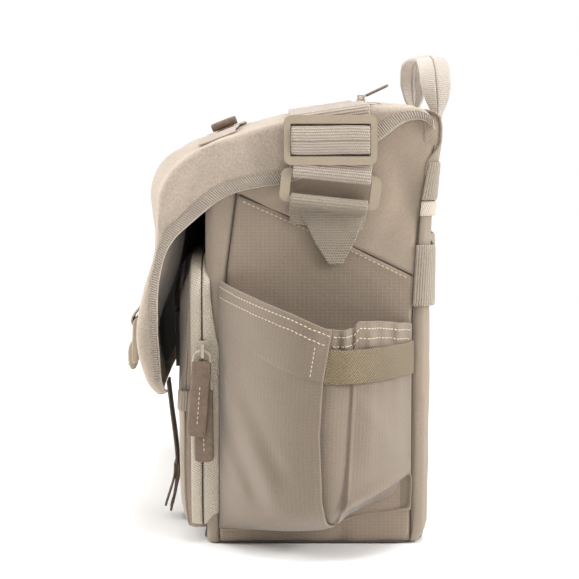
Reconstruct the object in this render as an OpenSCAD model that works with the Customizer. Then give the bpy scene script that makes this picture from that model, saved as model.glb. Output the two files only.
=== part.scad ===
// Shoulder bag with a wrap-over flap, bottle pockets on both ends, a zipped
// front pocket, a luggage band on the back and a doubled webbing strap.
// X runs along the bag's width, -Y is the front, +Z is up.  Millimetres.

/* [Body] */
// Width of the bag body, end panel to end panel
body_w = 380; // [300:5:460]
// Thickness of the padded end panels
end_t = 8; // [4:1:12]
// Thickness of the padded front and back walls
wall_t = 7; // [4:1:10]
// Height of the stiff bottom panel
base_t = 5; // [3:1:8]
// Thickness of the padded dividers
divider_t = 8; // [4:1:12]
// Distance of each divider from the middle
divider_x = 61; // [40:1:90]

/* [Flap] */
// Thickness of the flap's padded cloth
flap_t = 4; // [3:0.5:5]
// Width of the webbing that binds the flap's edge
binding_w = 12; // [8:1:16]
// How far the flap opens, in degrees
flap_open_max = 110; // [60:5:120]

/* [Pockets] */
// How far a bottle pocket stands out from the end panel
pocket_out = 70; // [40:1:80]
// Thickness of the pocket cloth with its hem
pocket_t = 2.5; // [2:0.5:4]
// Width of the elastic band on a bottle pocket
band_w = 20; // [15:1:25]
// Height of the zipped front pocket
front_h = 182; // [170:1:200]

/* [Strap] */
// Width of the shoulder strap webbing
strap_w = 51; // [38:1:52]
// Thickness of the strap's two layers together
strap_t = 3; // [2:0.5:3.5]
// Outer width of the strap slider
slider_w = 60; // [56:1:64]
// Outer height of the strap slider
slider_h = 32; // [28:1:34]
// Outer width of the strap rings
ring_w = 65; // [60:1:66]
// Outer height of the strap rings
ring_h = 22; // [20:1:23]

/* [Handle and closures] */
// Distance between the carry handle's feet
handle_span = 232; // [160:2:260]
// Height of the carry handle above its feet
handle_h = 46; // [36:1:56]
// Thickness of the carry handle's webbing
handle_t = 4; // [3:0.5:5]
// Distance of each closure from the middle
closure_x = 105; // [70:1:130]
// Width of the closure webbing
closure_w = 25; // [20:1:30]

/* [Hidden] */
$fn = 48;

hw = body_w/2;                       // half the body's width
front_y = -52;                       // outer face of the main front wall
back_y = 88;                         // outer face of the main back wall
hinge = [99, 273];                   // axis of the flap's sewn edge, Y and Z
strap_y0 = 3;                        // front edge of the strap
strap_y1 = strap_y0 + strap_w;
skirt_x = hw + 1;                    // inner face of the flap's end panels
skirt_t = 3;
bind_t = 1.2;
leg_x = skirt_x + skirt_t + bind_t + 0.4;   // inner face of the strap legs
ring_x = leg_x + 1.5;                // inner face of the strap rings
slider_x = leg_x + strap_t + 0.4;
slider_c = [29, 266.5];
ring_c = [29, 235];
ring_tilt = -6;
zip_y = -53.8;                       // line of the front zip's coil on the ends
tape_x = hw;
coil_x = tape_x + 1.2;

// Outer line of the flap from its sewn edge to its lower edge, Y and Z.
P = [[96,276],[91,285],[84,287.5],[70,288],[57,287.5],[54,287.2],[40,285.6],[25,283.4],[12,281],
     [3,279.2],[-12,275.6],[-31,270],[-43,266],[-56,260.4],[-68,252.5],[-77,243],
     [-82,232],[-83.5,218],[-84,204],[-86,190],[-90,176],[-94,162],[-97,148],[-97.5,134],
     [-95,120],[-90,106],[-84,98]];
corner = 15;                         // where the top panel meets the front panel
// Lower edge of the flap's end panels, from the sewn edge to the front's lower edge.
B = [[96,274],[91,279],[82,280],[74,277],[59,266],[36,253.5],[16,244.5],[-2,238.5],[-16,236.6],[-32,233],
     [-43,228],[-56,218],[-64,211],[-72,203.4],[-78,194],[-81,184],[-83,174],[-84,162],[-84,150],
     [-84,140],[-83,126],[-82,111],[-79,98]];

function unit(v) = v/norm(v);
function tangent(L,i) = i == 0 ? unit(L[1]-L[0]) : i == len(L)-1 ? unit(L[i]-L[i-1]) : unit(unit(L[i+1]-L[i]) + unit(L[i]-L[i-1]));
// Points of a line moved sideways by d, to the left-hand side as the line runs
function beside(L,d) = [for (i=[0:len(L)-1]) let(t=tangent(L,i)) [L[i][0]-d*t[1], L[i][1]+d*t[0]]];
function part_of(L,a,b) = [for (i=[a:b]) L[i]];
function back_to_front(L) = [for (i=[len(L)-1:-1:0]) L[i]];
// A band of the flap between two offsets and two points of its line; positive is inwards
function ribbon(L,a,b,o0,o1) = concat(part_of(beside(L,o0),a,b), back_to_front(part_of(beside(L,o1),a,b)));
function top_z(y) = lookup(y, [for (i=[15:-1:0]) P[i]]);

// Extrudes a Y,Z outline along X from x0 to x1
module along_x(x0,x1) { translate([x0,0,0]) rotate([90,0,90]) linear_extrude(x1-x0) children(); }
// Extrudes an X,Z outline along Y from y0 to y1
module along_y(y0,y1) { translate([0,y1,0]) rotate([90,0,0]) linear_extrude(y1-y0) children(); }
module box(a,b) { translate(a) cube(b-a); }
module rounded(w,h,r) {
  union() {
    translate([-w/2+r,0]) square([w-2*r,h]);
    translate([-w/2,r]) square([w,h-2*r]);
    for (x=[-w/2+r,w/2-r]) for (z=[r,h-r]) translate([x,z]) circle(r);
  }
}
module other_end() { mirror([1,0,0]) children(); }

// ---- body ----------------------------------------------------------------
module end_outline(y0,y1,z0) {
  polygon([[y0,z0],[y1,z0],[y1,270],[84,274],[72,275],[58,273],[36,271],[12,266],[-12,260],[-34,252],[y0,243]]);
}
module base_panel() {
  color([0.16,0.15,0.15]) linear_extrude(base_t) union() {
    translate([-hw+18,-48]) square([body_w-36,132]);
    translate([-hw+6,-36]) square([body_w-12,108]);
    for (x=[-hw+18,hw-18]) for (y=[-36,72]) translate([x,y]) circle(12);
  }
}
module base_board() { color([0.2,0.2,0.2]) box([-hw+end_t,front_y+wall_t,base_t],[hw-end_t,back_y-8,base_t+3]); }
module front_wall() { color([0.66,0.59,0.51]) box([-hw+end_t,front_y,base_t],[hw-end_t,front_y+wall_t,243]); }
module back_wall() { color([0.66,0.59,0.51]) box([-hw+end_t,back_y-8,base_t],[hw-end_t,back_y,270]); }
module end_panel_right() { color([0.66,0.59,0.51]) along_x(hw-end_t,hw) end_outline(front_y,back_y,base_t); }
module end_panel_left() { other_end() end_panel_right(); }
// The upper cloth panel of an end, cut on a slant
module end_yoke_right() {
  color([0.64,0.57,0.49]) along_x(hw,hw+0.6)
    polygon([[-33,231],[-10,222],[30,199],[83,178],[87,268],[72,274],[59,265],[36,252],[16,243],[-2,236.5],[-16,234.5]]);
}
module end_yoke_left() { other_end() end_yoke_right(); }
module compartment_lining() {
  x = hw-end_t; y0 = front_y+wall_t; y1 = back_y-8; z0 = base_t+3;
  color([0.25,0.25,0.27]) difference() {
    box([-x,y0,z0],[x,y1,240]);
    box([-x+1,y0+1,z0+1],[x-1,y1-1,241]);
  }
}
module divider(x) { color([0.3,0.3,0.32]) box([x-divider_t/2,front_y+wall_t+1.2,base_t+4.2],[x+divider_t/2,back_y-9.2,205]); }
module divider_right() { divider(divider_x); }
module divider_left() { divider(-divider_x); }

// ---- front pocket --------------------------------------------------------
module front_pocket_gusset() {
  color([0.66,0.59,0.51]) along_y(-65.8,front_y) translate([0,6]) difference() {
    rounded(body_w,front_h,24);
    translate([0,3]) rounded(body_w-6,front_h-6,21);
  }
}
module front_pocket_panel() { color([0.66,0.59,0.51]) along_y(-70,-65.8) translate([0,6]) rounded(body_w,front_h,24); }
module zip_ring(r0,r1,z0) {
  difference() {
    translate([0,6-r1]) rounded(body_w+2*r1,front_h+2*r1,24+r1);
    translate([0,6-r0]) rounded(body_w+2*r0,front_h+2*r0,24+r0);
    translate([-hw-10,-10]) square([body_w+20,z0+10]);
  }
}
module front_zip_tape() {
  color([0.82,0.77,0.69]) {
    along_y(-61.5,-52.3) zip_ring(0,1.2,14);
    for (s=[0,1]) mirror([s,0,0]) box([tape_x,-52.3,14],[tape_x+1.2,-46,front_h-26]);
  }
}
module front_zip_coil() {
  color([0.72,0.67,0.6]) along_y(zip_y-1.4,zip_y+1.4) zip_ring(1.2,2.6,14);
}

// ---- bottle pockets ------------------------------------------------------
// Plan of a pocket that stands out by d between y0 and y1
function pouch(y0,y1,d,n) = [for (i=[0:n]) let(u=-cos(180*i/n))
    [hw+d*pow(max(0,1-pow(abs(u),1.8)),0.85), (y0+y1)/2+u*(y1-y0)/2]];
module pouch_plan(inset) {
  polygon(concat([[hw-4,-44+inset]], pouch(-44+inset,83-inset,pocket_out-inset,32), [[hw-4,83-inset]]));
}
// Front view of a pocket, with a rounded outer foot
module pouch_foot(inset) {
  o = hw+pocket_out-inset;
  polygon([[hw-4,12+inset],[o-44,12+inset],[o-24,17.5+inset],[o-10,29+inset],[o-2.5,45+inset],[o+0.5,65],[o+0.5,200+inset],[hw-4,200+inset]]);
}
module pouch_solid(inset) {
  intersection() {
    translate([0,0,10]) linear_extrude(192+inset) pouch_plan(inset);
    along_y(-60,100) pouch_foot(inset);
  }
}
module pocket_mouth() {
  polygon([[-60,0],[100,0],[100,145],[84,146],[66,150],[48,153.5],[32,152],[28,150],[4,159.5],[-20,167],[-44,175],[-60,180]]);
}
module bottle_pocket_right() {
  color([0.63,0.56,0.49]) intersection() {
    difference() { pouch_solid(0); pouch_solid(pocket_t); }
    along_x(hw,hw+100) pocket_mouth();
  }
}
module bottle_pocket_left() { other_end() bottle_pocket_right(); }
module elastic_band_right() {
  color([0.55,0.48,0.36]) intersection() {
    translate([0,0,110]) linear_extrude(band_w+6) difference() {
      polygon(pouch(-45.3,84.3,pocket_out+1.3,32));
      polygon(pouch(-44,83,pocket_out,32));
    }
    box([hw,24,100],[hw+90,100,150]);
    along_x(hw-5,hw+100) polygon([[20,117.5],[90,115],[90,115+band_w],[20,117.5+band_w]]);
  }
}
module elastic_band_left() { other_end() elastic_band_right(); }

// ---- strap hardware ------------------------------------------------------
module at_ring() { translate([0,ring_c[0],ring_c[1]]) rotate([ring_tilt,0,0]) children(); }
module ring_right() {
  h = ring_h/2;
  at_ring() difference() {
    along_x(ring_x,ring_x+4) union() {
      translate([-ring_w/2+5,-h]) square([ring_w-10,ring_h]);
      translate([-ring_w/2,-h+5]) square([ring_w,ring_h-10]);
      for (y=[-ring_w/2+5,ring_w/2-5]) for (z=[-h+5,h-5]) translate([y,z]) circle(5);
    }
    box([ring_x-1,-strap_w/2-0.5,-h+4],[ring_x+5,strap_w/2+0.5,h-4]);
  }
}
// Webbing turned round one bar of the ring; s is 1 for the upper bar
module bar_loop(s,w) {
  z = s*(ring_h/2-2);
  at_ring() difference() {
    box([ring_x-1.5,-w/2,z-3.7],[ring_x+5.5,w/2,z+3.7]);
    box([ring_x-0.1,-w/2-1,z-2.1],[ring_x+4.1,w/2+1,z+2.1]);
  }
}
module strap_ring_right() { color([0.66,0.6,0.5]) ring_right(); }
module strap_ring_left() { other_end() strap_ring_right(); }
module anchor_right() {
  union() {
    bar_loop(-1,strap_w-2);
    at_ring() box([hw+0.9,-20,-ring_h/2-9],[ring_x+4,20,-ring_h/2-0.4]);
    along_x(hw+0.9,hw+3.4) polygon([[6,228],[53,223],[45,200],[36,184],[28,184],[20,200]]);
  }
}
module strap_anchor_right() { color([0.6,0.54,0.47]) anchor_right(); }
module strap_anchor_left() { other_end() strap_anchor_right(); }
module leg_plate() {
  along_x(leg_x,leg_x+strap_t) polygon([[strap_y0,249.5],[strap_y1,249.5],[strap_y1,top_z(strap_y1)-0.4],[strap_y0,top_z(strap_y0)-0.4]]);
  box([leg_x,strap_y0+1,243.2],[leg_x+strap_t,strap_y1-1,249.5]);
}
module strap_leg_right() {
  color([0.66,0.6,0.52]) {
    difference() {
      union() { leg_plate(); bar_loop(1,strap_w-2); }
      ring_slot();
    }
    // webbing rolled round the slider's middle bar
    translate([0,slider_c[0],slider_c[1]]) difference() {
      union() {
        box([slider_x-0.3,-strap_w/2+0.5,-7],[slider_x+6.2,strap_w/2-0.5,7]);
        for (z=[-6.2,6.2]) translate([slider_x+2.95,0,z]) rotate([90,0,0]) cylinder(r=3.25,h=strap_w-1,center=true);
      }
      box([slider_x+1.4,-strap_w/2-1,-6.1],[slider_x+4.3,strap_w/2+1,6.1]);
    }
  }
}
module ring_slot() { h = ring_h/2; at_ring() box([ring_x-0.1,-ring_w/2-1,h-4.1],[ring_x+4.1,ring_w/2+1,h+0.1]); }
module strap_leg_left() {
  color([0.66,0.6,0.52]) other_end() difference() {
    union() { leg_plate(); bar_loop(1,strap_w-2); }
    ring_slot();
  }
}
module strap_slider() {
  w = slider_w/2; h = slider_h/2;
  color([0.7,0.64,0.54]) translate([0,slider_c[0],slider_c[1]]) union() {
    difference() {
      along_x(slider_x,slider_x+4.5) union() {
        translate([-w+5,-h]) square([slider_w-10,slider_h]);
        translate([-w,-h+5]) square([slider_w,slider_h-10]);
        for (y=[-w+5,w-5]) for (z=[-h+5,h-5]) translate([y,z]) circle(5);
      }
      box([slider_x-1,-strap_w/2-0.3,-h+5.5],[slider_x+6,strap_w/2+0.3,h-5.5]);
    }
    box([slider_x+1.5,-strap_w/2-1,-6],[slider_x+4.2,strap_w/2+1,6]);
  }
}
module strap_top() {
  a = 5; b = 9;
  color([0.68,0.62,0.54]) along_x(-leg_x-strap_t,leg_x+strap_t) polygon(
    concat([for (i=[a:b]) [P[i][0],P[i][1]+0.3]], [for (i=[b:-1:a]) [P[i][0],P[i][1]+0.3+strap_t]]));
}

// ---- back ----------------------------------------------------------------
module back_panel() {
  color([0.66,0.59,0.51]) translate([0,0,4]) linear_extrude(267) union() {
    translate([-hw+4,back_y]) square([body_w-8,1]);
    translate([-hw+11,back_y]) square([body_w-22,8]);
    translate([-hw+4,back_y]) square([body_w-8,1.5]);
    for (x=[-hw+11,hw-11]) translate([x,back_y+1]) intersection() { circle(7); translate([-8,0]) square([16,8]); }
  }
}
module back_zip_tape() { color([0.82,0.77,0.69]) box([-hw+14,back_y+8,218],[hw-14,back_y+9.2,226]); }
module back_band_upper() { color([0.6,0.54,0.47]) box([-hw+12,back_y+8,228],[hw-12,back_y+10,251]); }
module luggage_band() {
  y = back_y+8;
  color([0.6,0.54,0.47]) translate([0,0,158.6]) linear_extrude(39)
    polygon([[-hw+12,y],[-100,y],[-88,y+6.5],[88,y+6.5],[100,y],[hw-12,y],[hw-12,y+2],[100,y+2],[88,y+8.5],[-88,y+8.5],[-100,y+2],[-hw+12,y+2]]);
}

// ---- closures ------------------------------------------------------------
module receiver(x) {
  w = closure_w/2;
  color([0.2,0.19,0.18]) union() {
    box([x-w+1,-71.4,92],[x+w-1,-70,150]);
    difference() {
      box([x-w-1,-76,108],[x+w+1,-71.4,146]);
      for (z=[114,130]) box([x-w+3,-77,z],[x+w-3,-72.6,z+9]);
    }
  }
}
module receiver_right() { receiver(closure_x); }
module receiver_left() { receiver(-closure_x); }
pin = [-103, 139];                   // axis of the latch's bar
module closure_strap(x) {
  w = closure_w/2-0.5;
  color([0.62,0.56,0.48]) union() {
    along_x(x-w,x+w) polygon(ribbon(P,17,22,-0.1,-1.7));
    along_x(x-w,x+w) difference() {
      union() { translate(pin) circle(4); polygon([[-97.4,151],[-98.9,151],[-107,139],[-103,139],[-98,144]]); }
      translate(pin) circle(2.3);
    }
  }
}
module closure_strap_right() { closure_strap(closure_x); }
module closure_strap_left() { closure_strap(-closure_x); }
module latch(x) {
  w = closure_w/2;
  color([0.55,0.49,0.41]) translate([x,0,0]) union() {
    translate([-w-3,pin[0],pin[1]]) rotate([0,90,0]) cylinder(r=2.2,h=2*w+6);
    for (s=[-w-3,w+0.2]) along_x(s,s+2.8) polygon([[-106,141.5],[-100.5,141.5],[-100,130],[-101,122],[-106.5,122]]);
    box([-w-3,-106.5,109],[w+3,-101,132]);
    box([-w+4,-110,104],[w-4,-103,124]);
  }
}
module latch_right() { latch(closure_x); }
module latch_left() { latch(-closure_x); }
T = [[-82.3,96.2],[-80,76],[-77.5,56],[-76.3,42],[-76.4,30],[-78,17],[-80.5,5]];
module tail(x) {
  w = closure_w/2-1;
  color([0.33,0.27,0.24]) along_x(x-w,x+w) union() {
    polygon(concat(beside(T,-1.2), back_to_front(beside(T,1.2))));
    polygon(concat(part_of(beside(T,-1.8),3,6), back_to_front(part_of(beside(T,1.8),3,6))));
  }
}
module closure_tail_right() { tail(closure_x); }
module closure_tail_left() { tail(-closure_x); }

// ---- flap ----------------------------------------------------------------
module flap_top_panel() { color([0.68,0.61,0.53]) along_x(-skirt_x,skirt_x) polygon(ribbon(P,0,corner,0,flap_t)); }
module flap_front_panel() { color([0.68,0.61,0.53]) along_x(-skirt_x,skirt_x) polygon(ribbon(P,corner,len(P)-1,0,flap_t)); }
module flap_end_right() { color([0.68,0.61,0.53]) along_x(skirt_x,skirt_x+skirt_t) polygon(concat(P, back_to_front(B))); }
module flap_end_left() { other_end() flap_end_right(); }
module binding_end() {
  n = len(B)-1;
  intersection() {
    along_x(skirt_x+skirt_t,skirt_x+skirt_t+bind_t) polygon(ribbon(B,0,n,0,-binding_w));
    along_x(skirt_x,skirt_x+10) polygon(concat(P, back_to_front(B)));
  }
}
module flap_binding() {
  color([0.62,0.55,0.48]) { binding_end(); other_end() binding_end(); }
}
module flap_lining() {
  color([0.22,0.22,0.23]) along_x(-skirt_x+2,skirt_x-2) polygon(ribbon(P,3,len(P)-2,flap_t,flap_t+1));
}
module top_zip_tape() { color([0.82,0.77,0.69]) along_x(-156,156) polygon(ribbon(P,3,4,-1.1,0)); }
module flap_webbing_strip() { color([0.7,0.64,0.57]) along_x(-hw+22,hw-22) polygon(ribbon(P,11,13,-1.6,0)); }
// Leather turned back over the webbing strip into a small roll
module leather_keeper() {
  color([0.42,0.34,0.3]) translate([54,-38,267.6]) rotate([20,0,0]) union() {
    box([-9,-9,2.6],[9,9,4]);
    translate([0,1,6.8]) rotate([90,0,0]) cylinder(r=3.2,h=18,center=true);
  }
}

// ---- carry handle --------------------------------------------------------
module carry_handle() {
  a = handle_span/2; z0 = 276; h = handle_h;
  H = [[a,z0+2],[a-1,z0+h*0.4],[a-9,z0+h*0.72],[a-30,z0+h*0.92],[a-66,z0+h-1.5],[0,z0+h],
       [-a+66,z0+h-1.5],[-a+30,z0+h*0.92],[-a+9,z0+h*0.72],[-a+1,z0+h*0.4],[-a,z0+2]];
  color([0.72,0.66,0.6]) intersection() {
    along_y(98.5,110) polygon(concat(H, back_to_front(beside(H,handle_t))));
    along_x(-a-5,a+5) union() {
      translate([104.25,z0+5.75]) circle(5.75);
      translate([98.5,z0+5.75]) square([11.5,h]);
    }
  }
}

// ---- zip sliders and pulls -----------------------------------------------
module zip_slider(z,reach) {
  difference() {
    union() {
      box([coil_x+0.2,zip_y-3.4,z-6],[coil_x+4,zip_y+3.4,z+6]);
      box([coil_x+3,zip_y-1,z-4],[reach+2.4,zip_y+1,z+4]);
    }
    box([coil_x-1,zip_y-1.7,z-7],[coil_x+1.8,zip_y+1.7,z+7]);
    translate([reach,zip_y,z]) rotate([90,0,0]) cylinder(r=1.7,h=6,center=true);
  }
}
module zip_pull(z,reach) {
  translate([reach,zip_y,z-5.5]) union() {
    rotate([0,90,0]) rotate_extrude() translate([5.5,0]) circle(0.9,$fn=24);
    box([-1.2,-4.6,-52],[1.2,4.6,-2.2]);
  }
}
reach_up = coil_x + 9.2;
reach_low = coil_x + 5;
module front_zip_slider_upper() { color([0.75,0.71,0.63]) zip_slider(129.5,reach_up); }
module front_zip_slider_lower() { color([0.75,0.71,0.63]) zip_slider(112,reach_low); }
module front_zip_pull_upper() { color([0.42,0.34,0.29]) zip_pull(129.5,reach_up); }
module front_zip_pull_lower() { color([0.42,0.34,0.29]) zip_pull(112,reach_low); }
tz = [-140, 62, 289.3];              // the top zip's slider
module bail() {
  difference() {
    box([-0.8,-3,-1.6],[0.8,3,2.2]);
    box([-2,-1.2,-1],[2,1.2,1]);
  }
}
// A leather tab on a wire loop that turns about X, lying along +Y
module tab_pull(l) {
  union() {
    rotate([0,90,0]) cylinder(r=0.8,h=6.6,center=true,$fn=24);
    for (x=[-3.3,2.3]) box([x,-0.6,-0.6],[x+1,6,0.6]);
    box([-4.5,5,-1.1],[4.5,l,1.1]);
  }
}
module top_zip_slider() {
  color([0.75,0.71,0.63]) translate(tz) union() {
    box([-6,-3.5,0],[6,3.5,2.2]);
    translate([3.8,0,3.6]) bail();
  }
}
module top_zip_pull() { color([0.42,0.34,0.29]) translate(tz+[3.8,0,3.6]) rotate([25,0,0]) tab_pull(20); }
bz = [-150, 222];                    // the back zip's slider, X and Z
module back_zip_slider() {
  color([0.75,0.71,0.63]) translate([bz[0],back_y+9.4,bz[1]]) union() {
    box([-6,0,-3.4],[6,2.2,3.4]);
    translate([3.8,3.6,0]) rotate([-90,0,0]) bail();
  }
}
module back_zip_pull() { color([0.42,0.34,0.29]) translate([bz[0]+3.8,back_y+13,bz[1]]) rotate([-90,0,0]) tab_pull(20); }

base_panel();
base_board();
front_wall();
back_wall();
end_panel_right();
end_panel_left();
end_yoke_right();
end_yoke_left();
compartment_lining();
divider_right();
divider_left();
front_pocket_gusset();
front_pocket_panel();
front_zip_tape();
front_zip_coil();
bottle_pocket_right();
bottle_pocket_left();
elastic_band_right();
elastic_band_left();
strap_anchor_right();
strap_anchor_left();
strap_ring_right();
strap_ring_left();
strap_leg_right();
strap_leg_left();
strap_slider();
back_panel();
back_zip_tape();
back_band_upper();
luggage_band();
receiver_right();
receiver_left();
flap_top_panel();
flap_front_panel();
flap_end_right();
flap_end_left();
flap_binding();
flap_lining();
top_zip_tape();
flap_webbing_strip();
leather_keeper();
closure_strap_right();
closure_strap_left();
strap_top();
carry_handle();
front_zip_slider_upper();
front_zip_slider_lower();
front_zip_pull_upper();
front_zip_pull_lower();
top_zip_slider();
top_zip_pull();
back_zip_slider();
back_zip_pull();
latch_right();
latch_left();
closure_tail_right();
closure_tail_left();
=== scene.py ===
import bpy, bmesh, math
import numpy as np
from mathutils import Vector, Matrix


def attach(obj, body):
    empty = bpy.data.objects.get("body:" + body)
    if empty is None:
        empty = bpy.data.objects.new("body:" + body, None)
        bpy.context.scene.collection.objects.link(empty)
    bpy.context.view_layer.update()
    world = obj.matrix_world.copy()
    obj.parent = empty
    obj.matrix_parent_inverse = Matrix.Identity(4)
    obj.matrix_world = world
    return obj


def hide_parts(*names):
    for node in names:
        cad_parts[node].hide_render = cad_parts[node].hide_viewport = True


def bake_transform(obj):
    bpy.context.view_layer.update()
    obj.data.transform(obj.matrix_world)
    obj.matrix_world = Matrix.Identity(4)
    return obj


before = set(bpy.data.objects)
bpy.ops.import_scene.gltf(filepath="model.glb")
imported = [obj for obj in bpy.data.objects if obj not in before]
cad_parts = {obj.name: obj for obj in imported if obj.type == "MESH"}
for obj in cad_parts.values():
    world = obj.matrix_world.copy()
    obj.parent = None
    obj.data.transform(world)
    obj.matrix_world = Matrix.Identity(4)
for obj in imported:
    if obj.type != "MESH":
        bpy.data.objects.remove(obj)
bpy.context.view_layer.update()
MM = 0.001
RNG = np.random.default_rng(7)

# ------------------------------------------------------------------ numbers
def sstep(x, a=0.0, b=1.0):
    t = np.clip((np.asarray(x, float) - a) / (b - a), 0, 1)
    return t * t * (3 - 2 * t)

def lerp(x, xs, ys):
    return np.interp(x, xs, ys)

def _h(ix, iy, iz, seed):
    h = (ix.astype(np.int64) * 374761393 + iy.astype(np.int64) * 668265263 + iz.astype(np.int64) * 144269504 + seed * 1274126177) & 0xFFFFFFFF
    h = ((h ^ (h >> 13)) * 1274126177) & 0xFFFFFFFF
    return ((h ^ (h >> 16)) & 0xFFFF) / 32767.5 - 1.0

def noise(p, scale, seed=0):
    q = np.asarray(p, float) / scale
    i = np.floor(q)
    f = q - i
    f = f * f * (3 - 2 * f)
    i = i.astype(np.int64)
    out = 0
    for dx in (0, 1):
        for dy in (0, 1):
            for dz in (0, 1):
                w = (f[..., 0] if dx else 1 - f[..., 0]) * (f[..., 1] if dy else 1 - f[..., 1]) * (f[..., 2] if dz else 1 - f[..., 2])
                out = out + w * _h(i[..., 0] + dx, i[..., 1] + dy, i[..., 2] + dz, seed)
    return out

def fbm(p, scale, seed=0, octaves=3):
    return sum(noise(p, scale / 2 ** k, seed + 17 * k) / 2 ** k for k in range(octaves))

def spline(pts, n):
    """n points evenly spaced along a smooth line through pts."""
    p = np.asarray(pts, float)
    k = len(p)
    t = np.concatenate([[0], np.cumsum(np.linalg.norm(np.diff(p, axis=0), axis=1) ** 0.5)])
    m = np.zeros_like(p)
    for i in range(k):
        if i == 0:
            m[i] = (p[1] - p[0]) / (t[1] - t[0])
        elif i == k - 1:
            m[i] = (p[-1] - p[-2]) / (t[-1] - t[-2])
        else:
            a = (p[i] - p[i - 1]) / (t[i] - t[i - 1]); b = (p[i + 1] - p[i]) / (t[i + 1] - t[i])
            m[i] = (a * (t[i + 1] - t[i]) + b * (t[i] - t[i - 1])) / (t[i + 1] - t[i - 1])
    tt = np.linspace(0, t[-1], max(400, 8 * k))
    j = np.clip(np.searchsorted(t, tt, side="right") - 1, 0, k - 2)
    h = (t[j + 1] - t[j])[:, None]; s = ((tt - t[j]) / (t[j + 1] - t[j]))[:, None]
    d = (2 * s ** 3 - 3 * s ** 2 + 1) * p[j] + (s ** 3 - 2 * s ** 2 + s) * h * m[j] + (-2 * s ** 3 + 3 * s ** 2) * p[j + 1] + (s ** 3 - s ** 2) * h * m[j + 1]
    return resample(d, n)

def arclen(d):
    return np.concatenate([[0], np.cumsum(np.linalg.norm(np.diff(d, axis=0), axis=1))])

def resample(d, n):
    s = arclen(d)
    x = np.linspace(0, s[-1], n) if np.isscalar(n) else np.asarray(n) * s[-1]
    return np.stack([np.interp(x, s, d[:, k]) for k in range(d.shape[1])], 1)

def unit(v):
    return v / np.maximum(np.linalg.norm(v, axis=-1, keepdims=True), 1e-9)

def tangents(d):
    return unit(np.gradient(d, axis=0))

def cluster(a, b, n, edge=(1.2, 3.0)):
    """Values from a to b with extra ones near both ends."""
    base = np.linspace(a, b, n)
    extra = [a + np.sign(b - a) * e for e in edge] + [b - np.sign(b - a) * e for e in edge]
    return np.array(sorted(set(np.round(np.concatenate([base, extra]), 4)), reverse=bool(b < a)))

# ------------------------------------------------------------------ meshes
def make(name, verts, faces, uvs=None, mat=None, body="bag", smooth=True, uv2=None):
    me = bpy.data.meshes.new(name)
    me.from_pydata((np.asarray(verts, float) * MM).tolist(), [], faces)
    me.update()
    if uvs is not None:
        uvs = np.asarray(uvs, float) * MM
        lay = me.uv_layers.new(name="UV")
        idx = np.zeros(len(me.loops), np.int32)
        me.loops.foreach_get("vertex_index", idx)
        lay.data.foreach_set("uv", uvs[idx].astype(np.float32).ravel())
    me.polygons.foreach_set("use_smooth", [smooth] * len(me.polygons))
    ob = bpy.data.objects.new(name, me)
    bpy.context.scene.collection.objects.link(ob)
    if mat:
        me.materials.append(mat)
    if body:
        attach(ob, body)
    return ob

def gfaces(nu, nv, wu=False, wv=False, off=0, flip=False):
    f = []
    for i in range(nu if wu else nu - 1):
        for j in range(nv if wv else nv - 1):
            a, b = off + i * nv + j, off + ((i + 1) % nu) * nv + j
            c, d = off + ((i + 1) % nu) * nv + (j + 1) % nv, off + i * nv + (j + 1) % nv
            f.append((a, d, c, b) if flip else (a, b, c, d))
    return f

def gnormals(P, wu=False, wv=False):
    def g(A, ax, w):
        return (np.roll(A, -1, ax) - np.roll(A, 1, ax)) if w else np.gradient(A, axis=ax)
    return unit(np.cross(g(P, 0, wu), g(P, 1, wv)))

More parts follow.
